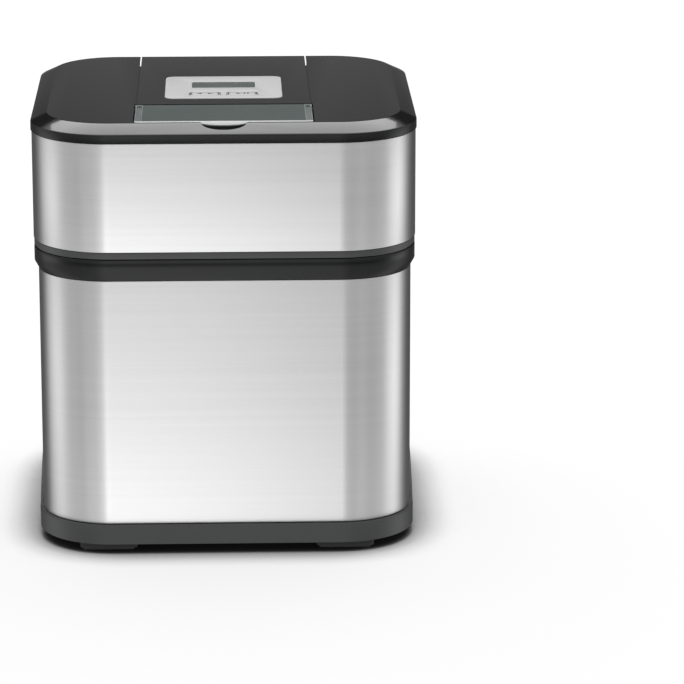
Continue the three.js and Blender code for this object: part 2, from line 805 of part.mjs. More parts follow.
// The lip is a flat curved tongue over the finger notch.
function lipOutline(grow) {
  const halfWidth = lipHalf + grow;
  const reach = lipReach - grow;
  const root = flapFront - grow;
  const shape = new THREE.Shape();
  shape.moveTo(-halfWidth, flapFront + 1);
  shape.lineTo(halfWidth, flapFront + 1);
  shape.lineTo(halfWidth, root);
  shape.bezierCurveTo(halfWidth - 2.5, root - 1, halfWidth - 3.5, reach, 0, reach);
  shape.bezierCurveTo(-halfWidth + 3.5, reach, -halfWidth + 2.5, root - 1, -halfWidth, root);
  return shape;
}

// ---- Motor head: inlet and leads ----

// Two-pin inlet in the rear wall, with its flange behind the steel.
function powerInlet() {
  const face = trimHalf - 0.1;
  const behindSteel = bandHalf - sheet - gap;
  const body = inletBlock(inlet.body, 0, 84, face);
  const flange = inletBlock(inlet.flange, 0, behindSteel - 4.4, behindSteel);
  const socket = inletBlock(inlet.socket, 0, 87, face + 1);
  const pins = [-inlet.pinReach, inlet.pinReach].map((x) => {
    const geometry = new THREE.CylinderGeometry(1.2, 1.2, 12, 12);
    return solidOf(geometry.translate(inletX + x, 92.5, inletZ));
  });
  return union([body.add(flange).subtract(socket), ...pins]);
}

// A block round the inlet's middle, from its half width and half height.
function inletBlock([halfWidth, halfHeight], grow, front, back) {
  const [x, z] = [halfWidth + grow, halfHeight + grow];
  return block(inletX - x, inletX + x, front, back, inletZ - z, inletZ + z);
}

// Mains lead from the inlet up to the board, and the motor's lead from its end cap to the board.
const powerLead = () => {
  const route = [
    [inletX, 83.7, inletZ],
    [inletX, 74, inletZ],
    [39, 62, 192],
    [33, 44, 206],
    [27, 24, 211],
    [26, 21, 215],
    [26, 21, boardLow - gap],
  ];
  return lead(route, 1.6, 24);
};

const motorLead = () => {
  const [x, y] = motorAxle;
  const route = [
    [x, y, 210.5],
    [x, y, 213],
    [x + 4, y - 6, 214.5],
    [x + 8.5, y - 14, 215.2],
    [x + 9, y - 16, 216.5],
    [x + 9, y - 16, boardLow - gap],
  ];
  return lead(route, 1.1, 16);
};

// ---- Assembly ----

const group = new THREE.Group();
const [base, bowl, head] = [new THREE.Group(), new THREE.Group(), new THREE.Group()];
group.add(base, bowl, head);

function place(parent, name, solid, finish, x = 0, y = 0, z = 0) {
  const mesh = new THREE.Mesh(geometryOf(solid), new THREE.MeshStandardMaterial(finishes[finish]));
  mesh.name = name;
  mesh.position.set(x, y, z);
  parent.add(mesh);
  return mesh;
}

place(base, "base_ring", baseRing(), "baseMoulding");
place(base, "base_plate", basePlate(), "baseMoulding");
place(base, "lower_steel_shell", lowerSteelShell(), "brushedSteel");
place(base, "collar", collar(), "darkTrim");
place(base, "liner", liner(), "liner");
const footPlace = { x: 62, y: 86 };
["front_left", "front_right", "rear_right", "rear_left"].forEach((where, i) => {
  const [x, y] = corners(1)[i];
  place(base, `foot_${where}`, foot(), "rubber", x * footPlace.x, y * footPlace.y);
});
corners(baseScrewPlace).forEach(([x, y], i) => {
  place(base, `base_screw_${i + 1}`, screw(3.6, 1.6, 1.6, 4.4), "steel", x, y, plateBottom - gap);
});

place(bowl, "bowl_outer_wall", bowlOuterWall(), "aluminium");
place(bowl, "bowl_inner_wall", bowlInnerWall(), "aluminium");
place(bowl, "bowl_rim", bowlRim(), "darkTrim");
place(bowl, "coolant", coolant(), "coolant");
place(bowl, "paddle", paddle(), "paddle");

place(head, "top_cover", topCover(), "darkCover");
place(head, "console_panel", consolePanel(), "darkCover");
place(head, "upper_steel_band", upperSteelBand(), "brushedSteel");
place(head, "head_tray", headTray(), "darkTrim");
place(head, "fill_chute", fillChute(), "darkCover");
place(head, "fill_flap", fillFlap(), "smoked");
for (const [side, sign] of [["left", -1], ["right", 1]]) {
  const ends = [sign * (flapHalf - 3.2), sign * pinEnd].sort((a, b) => a - b);
  place(head, `flap_pin_${side}`, crossRod(pinRadius, ...ends, 0, 0, 12), "steel", 0, hingeY, hingeZ);
  place(head, `button_${side}`, button(), "silver", sign * buttonX);
  place(head, `switch_${side}`, pushSwitch(), "black", sign * buttonX);
}
corners(headScrewPlace).forEach(([x, y], i) => {
  place(head, `head_screw_${i + 1}`, screw(3.6, 2, 1.5, 22), "steel", x, y, trayFloor - gap);
});

caseScrews.forEach(([x, y], i) => {
  const underHead = caseLow + lugHeight + gap;
  const fastener = screw(3.4, 2, 1.5, underHead - trayFloor);
  place(head, `gear_case_screw_${i + 1}`, fastener, "steel", x, y, underHead).rotation.x = Math.PI;
});

place(head, "control_plate", controlPlate(), "silver");
place(head, "lcd_window", lcdWindow(), "display");
place(head, "lcd_module", lcdModule(), "display");
place(head, "circuit_board", circuitBoard(), "board");

place(head, "gear_case", gearCase(), "liner");
place(head, "gear_case_cover", gearCaseCover(), "liner");
place(head, "motor", motor(), "motorCan", ...motorAxle);
place(head, "output_bush", outputBush(), "bronze");
place(head, "output_shaft", outputShaft(), "steel");
place(head, "output_gear", outputGear(), "gear");
place(head, "gear_axle", gearAxle(), "steel", ...middleAxle);
place(head, "intermediate_gear", intermediateGear(), "gear", ...middleAxle);
place(head, "motor_pinion", motorPinion(), "gear", ...motorAxle);

place(head, "power_inlet", powerInlet(), "black");
place(head, "power_lead", powerLead(), "black");
place(head, "motor_lead", motorLead(), "black");

export default group;
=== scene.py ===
import math
import bmesh
import bpy
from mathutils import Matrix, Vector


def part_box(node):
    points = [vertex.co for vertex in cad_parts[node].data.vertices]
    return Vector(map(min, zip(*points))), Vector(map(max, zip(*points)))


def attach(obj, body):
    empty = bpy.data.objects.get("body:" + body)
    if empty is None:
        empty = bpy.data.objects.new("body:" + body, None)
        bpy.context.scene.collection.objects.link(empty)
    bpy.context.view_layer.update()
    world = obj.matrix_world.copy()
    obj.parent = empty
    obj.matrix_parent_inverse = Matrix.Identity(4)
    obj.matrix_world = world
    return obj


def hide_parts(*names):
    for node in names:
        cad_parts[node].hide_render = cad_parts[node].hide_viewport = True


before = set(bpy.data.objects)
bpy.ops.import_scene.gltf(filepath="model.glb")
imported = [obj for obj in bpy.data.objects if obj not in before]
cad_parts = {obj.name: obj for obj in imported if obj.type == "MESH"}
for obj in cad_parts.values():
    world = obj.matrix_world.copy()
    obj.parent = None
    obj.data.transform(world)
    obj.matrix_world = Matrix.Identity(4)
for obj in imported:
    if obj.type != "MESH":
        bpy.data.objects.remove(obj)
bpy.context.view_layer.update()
print("frame loaded:", len(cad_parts), "nodes")

mm = 0.001


def pickNothing():
    if bpy.context.mode != "OBJECT":
        bpy.ops.object.mode_set(mode="OBJECT")
    bpy.ops.object.select_all(action="DESELECT")


def pickPiece(piece):
    pickNothing()
    piece.select_set(True)
    bpy.context.view_layer.objects.active = piece


def editPiece(piece, kind, wanted):  # edit mode, with only the wanted faces, edges or corners picked
    pickPiece(piece)
    bpy.ops.object.mode_set(mode="EDIT")
    bpy.ops.mesh.select_mode(type=kind)
    bpy.ops.mesh.select_all(action="DESELECT")
    mesh = bmesh.from_edit_mesh(piece.data)
    parts = {"VERT": mesh.verts, "EDGE": mesh.edges, "FACE": mesh.faces}[kind]
    for part in parts:
        if wanted(part):
            part.select_set(True)
    bmesh.update_edit_mesh(piece.data)


def isUpright(edge):
    step = edge.verts[1].co - edge.verts[0].co
    return step.length > 1e-7 and abs(step.normalized().z) > 0.99


def facesUp(face):
    return face.normal.z > 0.9


def facesDown(face):
    return face.normal.z < -0.9


def isFlat(edge):  # a level edge where a top or bottom face meets a wall
    levels = [abs(face.normal.z) > 0.9 for face in edge.link_faces]
    return len(levels) == 2 and levels[0] != levels[1]


def runsBack(edge):  # an edge that runs from front to back
    return abs((edge.verts[1].co - edge.verts[0].co).y) > mm


def startBlock(name, low, high):  # a box between two corners, its place kept in its mesh
    pickNothing()
    centre = [(a + b) / 2 for a, b in zip(low, high)]
    bpy.ops.mesh.primitive_cube_add(size=1, location=centre)
    piece = bpy.context.object
    piece.name = name
    piece.scale = [b - a for a, b in zip(low, high)]
    bpy.ops.object.transform_apply(location=True, rotation=True, scale=True)
    return piece


def startCylinder(name, radius, depth, centre, sides, turn=(0, 0, 0)):
    pickNothing()
    bpy.ops.mesh.primitive_cylinder_add(
        vertices=sides, radius=radius, depth=depth, location=centre, rotation=turn)
    piece = bpy.context.object
    piece.name = name
    bpy.ops.object.transform_apply(location=True, rotation=True, scale=True)
    return piece


def startRod(name, radius, low, high, x=0.0, y=0.0, sides=48):
    return startCylinder(name, radius, high - low, (x, y, (low + high) / 2), sides)


def startCrossRod(name, radius, left, right, y, z, sides=32):  # a rod that lies along X
    return startCylinder(name, radius, right - left, ((left + right) / 2, y, z), sides, (0, math.pi / 2, 0))


def startMoon(name, radius, depth, y, low, high):  # a rod squeezed from front to back
    piece = startRod(name, radius, low, high, sides=64)
    piece.scale = (1, depth / radius, 1)
    piece.location = (0, y, 0)
    pickPiece(piece)
    bpy.ops.object.transform_apply(location=True, rotation=True, scale=True)
    return piece


def roundUprights(piece, radius, steps=20):
    return softenEdges(piece, isUpright, radius, steps)


def roundedBlock(name, low, high, radius, steps=8):
    return roundUprights(startBlock(name, low, high), radius, steps)


def squareBlock(name, half, core, low, high, steps=24):  # a square outline with arcs round its corners
    return roundUprights(startBlock(name, (-half, -half, low), (half, half, high)), half - core, steps)


def useModifier(piece, kind, **settings):
    pickPiece(piece)
    added = piece.modifiers.new(kind.lower(), kind)
    for name, value in settings.items():
        setattr(added, name, value)
    bpy.ops.object.modifier_apply(modifier=added.name)
    return piece


def combine(piece, other, operation):
    useModifier(piece, "BOOLEAN", object=other, operation=operation, solver="EXACT")
    bpy.data.objects.remove(other)
    return piece


def join(piece, *others):
    for other in others:
        combine(piece, other, "UNION")
    return piece


def cut(piece, *others):
    for other in others:
        combine(piece, other, "DIFFERENCE")
    return piece


def bevelFace(piece, wanted, inwards, outwards):  # a sloping edge round a flat face
    editPiece(piece, "FACE", wanted)
    bpy.ops.mesh.inset(thickness=inwards, depth=outwards, use_even_offset=True)
    pickNothing()
    return piece


def softenEdges(piece, wanted, width, steps=3):
    editPiece(piece, "EDGE", wanted)
    bpy.ops.mesh.bevel(offset=width, segments=steps, profile=0.5, affect="EDGES", clamp_overlap=False)
    pickNothing()
    return piece


def smooth(piece, angle=35):
    pickPiece(piece)
    bpy.ops.object.shade_smooth_by_angle(angle=math.radians(angle))
    return piece


def squareTube(name, half, core, low, high, thick, edge, steps=24):  # open sleeve with soft rims
    sleeve = squareBlock(name, half, core, low, high, steps)
    cut(sleeve, squareBlock(name + "Hollow", half - thick, core, low - mm, high + mm, steps))
    return softenEdges(sleeve, isFlat, edge)


def arcPoints(radius, height, arc, start, end):  # a rounded corner of a turned outline, each 15 degrees
    step = 15 if end > start else -15
    turns = [math.radians(angle) for angle in range(start, end + step, step)]
    return [(radius + arc * math.cos(turn), height + arc * math.sin(turn)) for turn in turns]


def turnProfile(name, points):  # spins a closed outline of (radius, height) points round Z
    pickNothing()
    bpy.ops.mesh.primitive_circle_add(vertices=len(points), radius=mm)
    piece = bpy.context.object
    piece.name = name
    for vertex, (radius, height) in zip(piece.data.vertices, points):
        vertex.co = (radius, 0, height)
    editPiece(piece, "EDGE", lambda edge: True)
    bpy.ops.mesh.spin(steps=128, angle=math.tau, center=(0, 0, 0), axis=(0, 0, 1), use_auto_merge=True)
    bpy.ops.mesh.select_all(action="SELECT")
    bpy.ops.mesh.remove_doubles(threshold=mm / 200)
    bpy.ops.mesh.delete_loose()
    bpy.ops.mesh.select_all(action="SELECT")
    bpy.ops.mesh.normals_make_consistent(inside=False)
    pickNothing()
    return piece


def addFinish(piece, material, wanted):  # a second finish on the faces whose centre and normal fit
    piece.data.materials.append(material)
    for face in piece.data.polygons:
        if wanted(face.center, face.normal):
            face.material_index = len(piece.data.materials) - 1


def settle(piece, material, body, slotName, *nodes):  # gives a finished piece its look and its CAD body
    piece.data.materials.clear()
    piece.data.materials.append(material)
    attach(piece, body)
    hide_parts(*nodes)
    return piece


def colour(hexCode):  # sRGB hex to the linear values that Blender works in
    values = [int(hexCode[i:i + 2], 16) / 255 for i in (0, 2, 4)]
    return [v / 12.92 if v <= 0.04045 else ((v + 0.055) / 1.055) ** 2.4 for v in values] + [1.0]


def addNode(tree, kind, inputs=None, **settings):
    made = tree.nodes.new(kind)
    for name, value in settings.items():
        setattr(made, name, value)
    for name, value in (inputs or {}).items():
        if isinstance(value, bpy.types.NodeSocket):
            tree.links.new(value, made.inputs[name])
        else:
            made.inputs[name].default_value = value
    return made


def startMaterial(name, **shaderValues):
    material = bpy.data.materials.new(name)
    material.use_nodes = True
    tree = material.node_tree
    shader = tree.nodes["Principled BSDF"]
    for key, value in shaderValues.items():
        shader.inputs[key.replace("_", " ")].default_value = value
    place = addNode(tree, "ShaderNodeTexCoord").outputs["Object"]
    return material, tree, shader, place


def stretched(tree, place, scale):
    return addNode(tree, "ShaderNodeMapping", {"Vector": place, "Scale": scale}).outputs["Vector"]


def mixColours(tree, factor, first, second, blend="MIX"):  # each colour is a socket or a value
    mixed = addNode(tree, "ShaderNodeMix", {"Factor": factor}, data_type="RGBA", blend_type=blend)
    ends = [socket for socket in mixed.inputs if socket.type == "RGBA"]
    for end, value in zip(ends, (first, second)):
        if isinstance(value, bpy.types.NodeSocket):
            tree.links.new(value, end)
        else:
            end.default_value = value
    return [socket for socket in mixed.outputs if socket.type == "RGBA"][0]


def blendColours(tree, factor, first, second):  # the same, between two hex colours
    return mixColours(tree, factor, colour(first), colour(second))


def spread(tree, factor, low, high):  # maps a 0 to 1 pattern to a range
    values = {"Value": factor, "To Min": low, "To Max": high}
    return addNode(tree, "ShaderNodeMapRange", values).outputs["Result"]


def brushedSteel():
    # 430 stainless sheet, brushed level with a grit belt: long fine level scratches that
    # stretch every reflection upright, drawn coarser than the real 0.05 mm so that they show
    scratch = {"long": 111 * mm, "wide": 0.385 * mm, "bandLong": 200 * mm, "bandWide": 2.38 * mm}
    across, along = 1 / scratch["wide"], 1 / scratch["long"]
    bandAcross, bandAlong = 1 / scratch["bandWide"], 1 / scratch["bandLong"]
    material, tree, shader, place = startMaterial(
        "brushedStainless430", Metallic=1.0, Anisotropic=0.94, Anisotropic_Rotation=0.25)
    lines = addNode(tree, "ShaderNodeTexNoise", {
        "Vector": stretched(tree, place, (along, along, across)), "Scale": 1.0, "Detail": 4.0, "Roughness": 0.7})
    broad = addNode(tree, "ShaderNodeTexNoise", {
        "Vector": stretched(tree, place, (bandAlong, bandAlong, bandAcross)), "Scale": 1.0, "Detail": 2.0})
    level = addNode(
        tree, "ShaderNodeMath", {0: lines.outputs["Fac"], 1: broad.outputs["Fac"]}, operation="ADD")
    half = addNode(tree, "ShaderNodeMath", {0: level.outputs[0], 1: 0.5}, operation="MULTIPLY").outputs[0]
    tree.links.new(blendColours(tree, half, "DADADA", "EAEAEA"), shader.inputs["Base Color"])
    tree.links.new(spread(tree, half, 0.26, 0.32), shader.inputs["Roughness"])
    relief = addNode(tree, "ShaderNodeBump", {"Height": half, "Strength": 0.06, "Distance": 0.00003})
    tree.links.new(relief.outputs["Normal"], shader.inputs["Normal"])
    around = addNode(tree, "ShaderNodeTangent", direction_type="RADIAL", axis="Z")
    tree.links.new(around.outputs["Tangent"], shader.inputs["Tangent"])
    return material


def mouldedPlastic(name, dark, light, roughness, grain=0.0009, relief=0.00002, coat=0.0, shine=0.5):
    # injection-moulded ABS from a spark-eroded tool: an even fine grain that breaks up the gloss
    material, tree, shader, place = startMaterial(
        name, Metallic=0.0, IOR=1.53, Coat_Weight=coat, Coat_Roughness=0.07, Specular_IOR_Level=shine)
    pebble = addNode(tree, "ShaderNodeTexNoise", {"Vector": place, "Scale": 1 / grain, "Detail": 3.0})
    cloud = addNode(tree, "ShaderNodeTexNoise", {"Vector": place, "Scale": 22.0, "Detail": 2.0})
    tree.links.new(blendColours(tree, cloud.outputs["Fac"], dark, light), shader.inputs["Base Color"])
    uneven = spread(tree, pebble.outputs["Fac"], roughness - 0.05, roughness + 0.06)
    tree.links.new(uneven, shader.inputs["Roughness"])
    grainBump = addNode(tree, "ShaderNodeBump", {
        "Height": pebble.outputs["Fac"], "Strength": 0.5, "Distance": relief})
    tree.links.new(grainBump.outputs["Normal"], shader.inputs["Normal"])
    return material


def turnedMetal(name, dark, light, roughness, pitch=0.0007):
    # machined or spun metal: fine rings from the tool round the axis
    material, tree, shader, place = startMaterial(name, Metallic=1.0)
    rings = addNode(tree, "ShaderNodeTexNoise", {
        "Vector": stretched(tree, place, (60, 60, 1 / pitch)), "Scale": 1.0, "Detail": 3.0})
    tree.links.new(blendColours(tree, rings.outputs["Fac"], dark, light), shader.inputs["Base Color"])
    uneven = spread(tree, rings.outputs["Fac"], roughness - 0.06, roughness + 0.08)
    tree.links.new(uneven, shader.inputs["Roughness"])
    bump = addNode(tree, "ShaderNodeBump", {
        "Height": rings.outputs["Fac"], "Strength": 0.2, "Distance": 0.02 * mm})
    tree.links.new(bump.outputs["Normal"], shader.inputs["Normal"])
    return material


def smokedAcrylic():
    # moulded acrylic with a grey-green tint: clear, glossy, with a very faint flow ripple
    material, tree, shader, place = startMaterial(
        "smokedAcrylic", Metallic=0.0, IOR=1.49, Transmission_Weight=0.55)
    flow = addNode(tree, "ShaderNodeTexNoise", {"Vector": place, "Scale": 45.0, "Detail": 1.0})
    tree.links.new(blendColours(tree, flow.outputs["Fac"], "818D8A", "8B9693"), shader.inputs["Base Color"])
    tree.links.new(spread(tree, flow.outputs["Fac"], 0.05, 0.08), shader.inputs["Roughness"])
    ripple = addNode(tree, "ShaderNodeBump", {
        "Height": flow.outputs["Fac"], "Strength": 0.05, "Distance": 0.1 * mm})
    tree.links.new(ripple.outputs["Normal"], shader.inputs["Normal"])
    return material


def displayGlass():
    # reflective display under a polished window: grey-green with a slow brightness drift
    material, tree, shader, place = startMaterial("displayWindow", Metallic=0.0, IOR=1.5)
    drift = addNode(tree, "ShaderNodeTexNoise", {"Vector": place, "Scale": 60.0, "Detail": 1.0})
    tree.links.new(blendColours(tree, drift.outputs["Fac"], "5C6462", "6A7270"), shader.inputs["Base Color"])
    tree.links.new(spread(tree, drift.outputs["Fac"], 0.16, 0.26), shader.inputs["Roughness"])
    return material


steel = brushedSteel()
coverPlastic = mouldedPlastic("lacqueredAbsCover", "101112", "141516", 0.13, relief=0.000002, coat=1.0)
trimPlastic = mouldedPlastic("satinAbsTrim", "0E0F0F", "131414", 0.22, relief=0.000006, shine=0.3)
basePlastic = mouldedPlastic("satinAbsBase", "3B3C3C", "424343", 0.4)
linerPlastic = mouldedPlastic("polypropyleneLiner", "55585A", "5C5F61", 0.5)
paddlePlastic = mouldedPlastic("mouldedPolyamidePaddle", "DEDEDA", "E8E8E5", 0.4)
gearPlastic = mouldedPlastic("mouldedAcetalGear", "E3DECF", "EDE8DB", 0.38)
blackPlastic = mouldedPlastic("blackNylon", "1A1A1B", "202021", 0.4)
rubber = mouldedPlastic("nitrileRubber", "2A2A2A", "323232", 0.75, grain=0.0006, relief=0.00005)
silverPlastic = mouldedPlastic("silverLacqueredAbs", "CCCDCC", "D6D7D6", 0.33, grain=0.0005, relief=0.00001)
boardLacquer = mouldedPlastic("greenSolderResist", "1C5236", "23603F", 0.3)
coolantFill = mouldedPlastic("coolantGel", "88B3D1", "9BC4DF", 0.25)
inkPrint = mouldedPlastic("screenPrintedInk", "343736", "3C3F3E", 0.5)
# near-white painted highlight for the flap's front edge and knuckle crests
edgePaintedHighlight = mouldedPlastic("acrylicEdgePaintedHighlight", "F4F7F6", "FBFCFC", 0.2, grain=0.0004, coat=1.0)
# light grey painted highlight for the flap's lip, standing in for the light it mirrors from behind
lipPaintedHighlight = mouldedPlastic("acrylicLipPaintedHighlight", "B4B9B8", "BEC3C2", 0.3, grain=0.0004, coat=0.2)
# lighter grey painted sheen for the flap's side rails, where their clear edges and ribs glint
railPaintedSheen = mouldedPlastic("acrylicRailPaintedSheen", "7B8483", "A4ACAB", 0.2, grain=0.0004, coat=0.6)
smoked = smokedAcrylic()
display = displayGlass()
aluminium = turnedMetal("spunAluminium", "B4B6B8", "CCCED0", 0.34)
shaftSteel = turnedMetal("groundSteel", "A8A9AB", "C4C5C7", 0.26)
pinSteel = turnedMetal("blackOxideSteel", "262728", "303132", 0.35)
bronze = turnedMetal("sinteredBronze", "9A7444", "B58C57", 0.45)
motorMetal = turnedMetal("zincPlatedSteel", "8B8E92", "A3A6AA", 0.4)
print("materials made")

cadFinishes = {  # CAD nodes that stay: material and the nodes that wear it
    basePlastic: ["base_plate"],
    blackPlastic: ["power_inlet", "power_lead", "motor_lead", "switch_left", "switch_right"],
    boardLacquer: ["circuit_board"],
    coolantFill: ["coolant"],
    linerPlastic: ["gear_case", "gear_case_cover"],
    gearPlastic: ["output_gear", "intermediate_gear", "motor_pinion"],
    shaftSteel: ["output_shaft", "gear_axle", "gear_case_screw_1", "gear_case_screw_2", "gear_case_screw_3"],
    pinSteel: ["flap_pin_left", "flap_pin_right"],
    bronze: ["output_bush"],
    motorMetal: ["motor"],
    display: ["lcd_module"],
    trimPlastic: ["fill_chute"],
}
for material, names in cadFinishes.items():
    for name in names:
        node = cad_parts[name]
        node.data.materials.clear()
        node.data.materials.append(material)

headCore = 58.6 * mm
baseCore = 60 * mm
gap = 0.3 * mm


def makeSleeve(name, node, core):
    sleeve = {"thick": 0.8 * mm, "rim": 0.25 * mm, "cornerSteps": 32}
    low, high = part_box(node)
    return squareTube(name, high.x, core, low.z, high.z, sleeve["thick"], sleeve["rim"], sleeve["cornerSteps"])


def makeSteel():
    lower = makeSleeve("lowerSteelShell", "lower_steel_shell", baseCore)
    settle(smooth(lower), steel, "base_unit", "brushed_steel", "lower_steel_shell")
    upper = makeSleeve("upperSteelBand", "upper_steel_band", headCore)
    cut(upper, inletHole("inletHole"))
    settle(smooth(upper), steel, "head", "brushed_steel", "upper_steel_band")


def inletHole(name):  # the inlet's face outline, pushed through the rear wall
    face = {"wide": 22 * mm, "tall": 13 * mm, "deep": 12 * mm}
    low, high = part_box("power_inlet")
    x, z = (low.x + high.x) / 2, (low.z + high.z) / 2
    wide, tall = face["wide"] / 2 + gap, face["tall"] / 2 + gap
    return startBlock(name, (x - wide, high.y - face["deep"], z - tall), (x + wide, high.y + mm, z + tall))


def makeBaseRing():
    ring = {"arch": 24.1 * mm, "halfChord": 59 * mm, "wall": 4.3 * mm, "ledge": 88.5 * mm, "rim": 0.5 * mm,
            "ledgeLow": 2.3 * mm, "ledgeHigh": 4.3 * mm}
    low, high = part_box("base_ring")
    steelLow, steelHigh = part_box("lower_steel_shell")
    ringTop, inner, half = steelLow.z - gap, steelHigh.x + gap, high.x
    piece = squareBlock("baseRing", half, baseCore, low.z, ringTop)
    archRadius = (ring["halfChord"] ** 2 + ring["arch"] ** 2) / (2 * ring["arch"])
    archMiddle = ringTop + ring["arch"] - archRadius
    span = ring["halfChord"] + 2 * mm
    for side in (-1, 1):
        left, right = sorted((side * inner, side * half))
        disc = startCrossRod("arch", archRadius, left, right, 0, archMiddle, 256)
        above = startBlock(
            "archSpace", (left - mm, -span, ringTop - 4 * mm), (right + mm, span, ringTop + 30 * mm))
        combine(disc, above, "INTERSECT")
        join(piece, disc)
    cut(piece, squareBlock("ringHollow", half - ring["wall"] - gap, baseCore, low.z - mm, ringTop + mm))
    softenEdges(piece, lambda edge: isArchEdge(edge, ringTop - 0.1 * mm), ring["rim"])
    ledge = squareBlock("ringLedge", half - mm, baseCore, low.z + ring["ledgeLow"], low.z + ring["ledgeHigh"])
    cut(ledge, squareBlock("ledgeHollow", ring["ledge"], baseCore, low.z, ringTop))
    join(piece, ledge)
    settle(smooth(piece), basePlastic, "base_unit", "base_plastic", "base_ring")


def isArchEdge(edge, level):  # outer rim of the ring and of its arches
    rim = {"half": 97.5 * mm, "cornerReach": 116.5 * mm}
    if len(edge.link_faces) != 2 or min(vertex.co.z for vertex in edge.verts) < level:
        return False
    first = edge.verts[0].co
    outside = max(abs(first.x), abs(first.y)) > rim["half"] or first.xy.length > rim["cornerReach"]
    return outside and edge.calc_face_angle(0) > math.radians(50)


def makeCollar():
    collar = {"chamferTall": 3.7 * mm, "wall": 3.6 * mm, "shelf": 3 * mm, "shelfTall": 2 * mm, "rim": 0.4 * mm}
    low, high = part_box("collar")
    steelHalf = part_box("lower_steel_shell")[1].x
    inner = high.x - collar["wall"]
    piece = squareBlock("collarRing", high.x, baseCore, low.z + collar["chamferTall"], high.z)
    bevelFace(piece, facesDown, high.x - steelHalf, collar["chamferTall"])
    cut(
        piece,
        squareBlock("collarHollow", inner, baseCore, low.z + collar["shelfTall"], high.z + mm),
        squareBlock("collarWay", inner - collar["shelf"], baseCore, low.z - mm, high.z),
    )
    softenEdges(piece, lambda edge: isFlat(edge) and edge.verts[0].co.z > high.z - gap, collar["rim"])
    settle(smooth(piece), trimPlastic, "base_unit", "trim_plastic", "collar")


def makeLiner():
    liner = {"flange": 2 * mm, "floor": 2 * mm, "wall": 1.6 * mm, "corner": 6 * mm, "clear": 0.8 * mm}
    low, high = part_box("liner")
    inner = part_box("bowl_rim")[1].x + liner["clear"]
    outer, floor = inner + liner["wall"], low.z + liner["floor"]
    plate = squareBlock("linerFlange", high.x, baseCore, high.z - liner["flange"], high.z)
    cut(plate, startRod("linerMouth", outer - 0.4 * mm, low.z, high.z + mm, sides=128))
    corner, inCorner = liner["corner"], liner["corner"] - liner["wall"]
    outside = arcPoints(outer - corner, low.z + corner, corner, -90, 0)
    inside = arcPoints(inner - inCorner, floor + inCorner, inCorner, 0, -90)
    wall = outside + [(outer, high.z), (inner, high.z)] + inside
    well = turnProfile("bowlLiner", [(nearAxis, low.z)] + wall + [(nearAxis, floor)])
    closePoles(well)
    join(well, plate)
    settle(smooth(well), linerPlastic, "base_unit", "liner_plastic", "liner")


nearAxis = 0.01 * mm  # a turned floor starts this far out, and closePoles then closes it


def closePoles(piece):  # pulls the tiny ring at the axis together, so that the floor is closed
    editPiece(piece, "VERT", lambda vertex: vertex.co.xy.length < 2 * nearAxis)
    mesh = bmesh.from_edit_mesh(piece.data)
    for vertex in mesh.verts:
        if vertex.select:
            vertex.co.xy = (0, 0)
    bmesh.update_edit_mesh(piece.data)
    bpy.ops.mesh.select_all(action="SELECT")
    bpy.ops.mesh.remove_doubles(threshold=mm / 500)
    bpy.ops.mesh.delete_loose()
    bpy.ops.mesh.select_all(action="SELECT")
    bpy.ops.mesh.normals_make_consistent(inside=False)
    pickNothing()


bowl = {"sheet": 0.8 * mm, "inner": 67 * mm, "wall": 1 * mm, "corner": 5 * mm, "inCorner": 4 * mm,
        "spigot": 4 * mm, "spigotTop": 46 * mm, "fillet": 2 * mm, "crown": 1 * mm, "rim": 1.5 * mm}


def makeBowl():
    makeOuterWall()
    makeInnerWall()
    makeBowlRim()


def makeOuterWall():
    low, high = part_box("bowl_outer_wall")
    radius, sheet, corner = high.x, bowl["sheet"], bowl["corner"]
    inCorner, floor = corner - sheet, low.z + sheet
    outside = arcPoints(radius - corner, low.z + corner, corner, -90, 0)
    inside = arcPoints(radius - sheet - inCorner, floor + inCorner, inCorner, 0, -90)
    wall = outside + [(radius, high.z), (radius - sheet, high.z)] + inside
    outer = turnProfile("bowlOuterWall", [(nearAxis, low.z)] + wall + [(nearAxis, floor)])
    closePoles(outer)
    settle(smooth(outer), aluminium, "bowl", "bowl_aluminium", "bowl_outer_wall")


def makeInnerWall():
    low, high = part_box("bowl_inner_wall")
    inner, wall, spigot, corner, inCorner = (
        bowl[name] for name in ("inner", "wall", "spigot", "corner", "inCorner"))
    floor, spigotTop, fillet, crown = low.z + wall, bowl["spigotTop"], bowl["fillet"], bowl["crown"]
    profile = [(nearAxis, low.z)]
    profile += arcPoints(inner + wall - corner, low.z + corner, corner, -90, 0)
    profile += [(inner + wall, high.z), (inner, high.z)]
    profile += arcPoints(inner - inCorner, floor + inCorner, inCorner, 0, -90)
    profile += arcPoints(spigot + fillet, floor + fillet, fillet, -90, -180)
    profile += arcPoints(spigot - crown, spigotTop - crown, crown, 0, 90)
    cup = turnProfile("bowlInnerWall", profile + [(nearAxis, spigotTop)])
    closePoles(cup)
    settle(smooth(cup), aluminium, "bowl", "bowl_aluminium", "bowl_inner_wall")


def makeBowlRim():
    low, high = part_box("bowl_rim")
    inner, outer, soft = bowl["inner"], high.x, bowl["rim"]
    outside = arcPoints(outer - soft, high.z - soft, soft, 0, 90)
    inside = arcPoints(inner + soft, high.z - soft, soft, 90, 180)
    rim = turnProfile("bowlRim", [(inner, low.z), (outer, low.z)] + outside + inside)
    settle(smooth(rim), trimPlastic, "bowl", "trim_plastic", "bowl_rim")


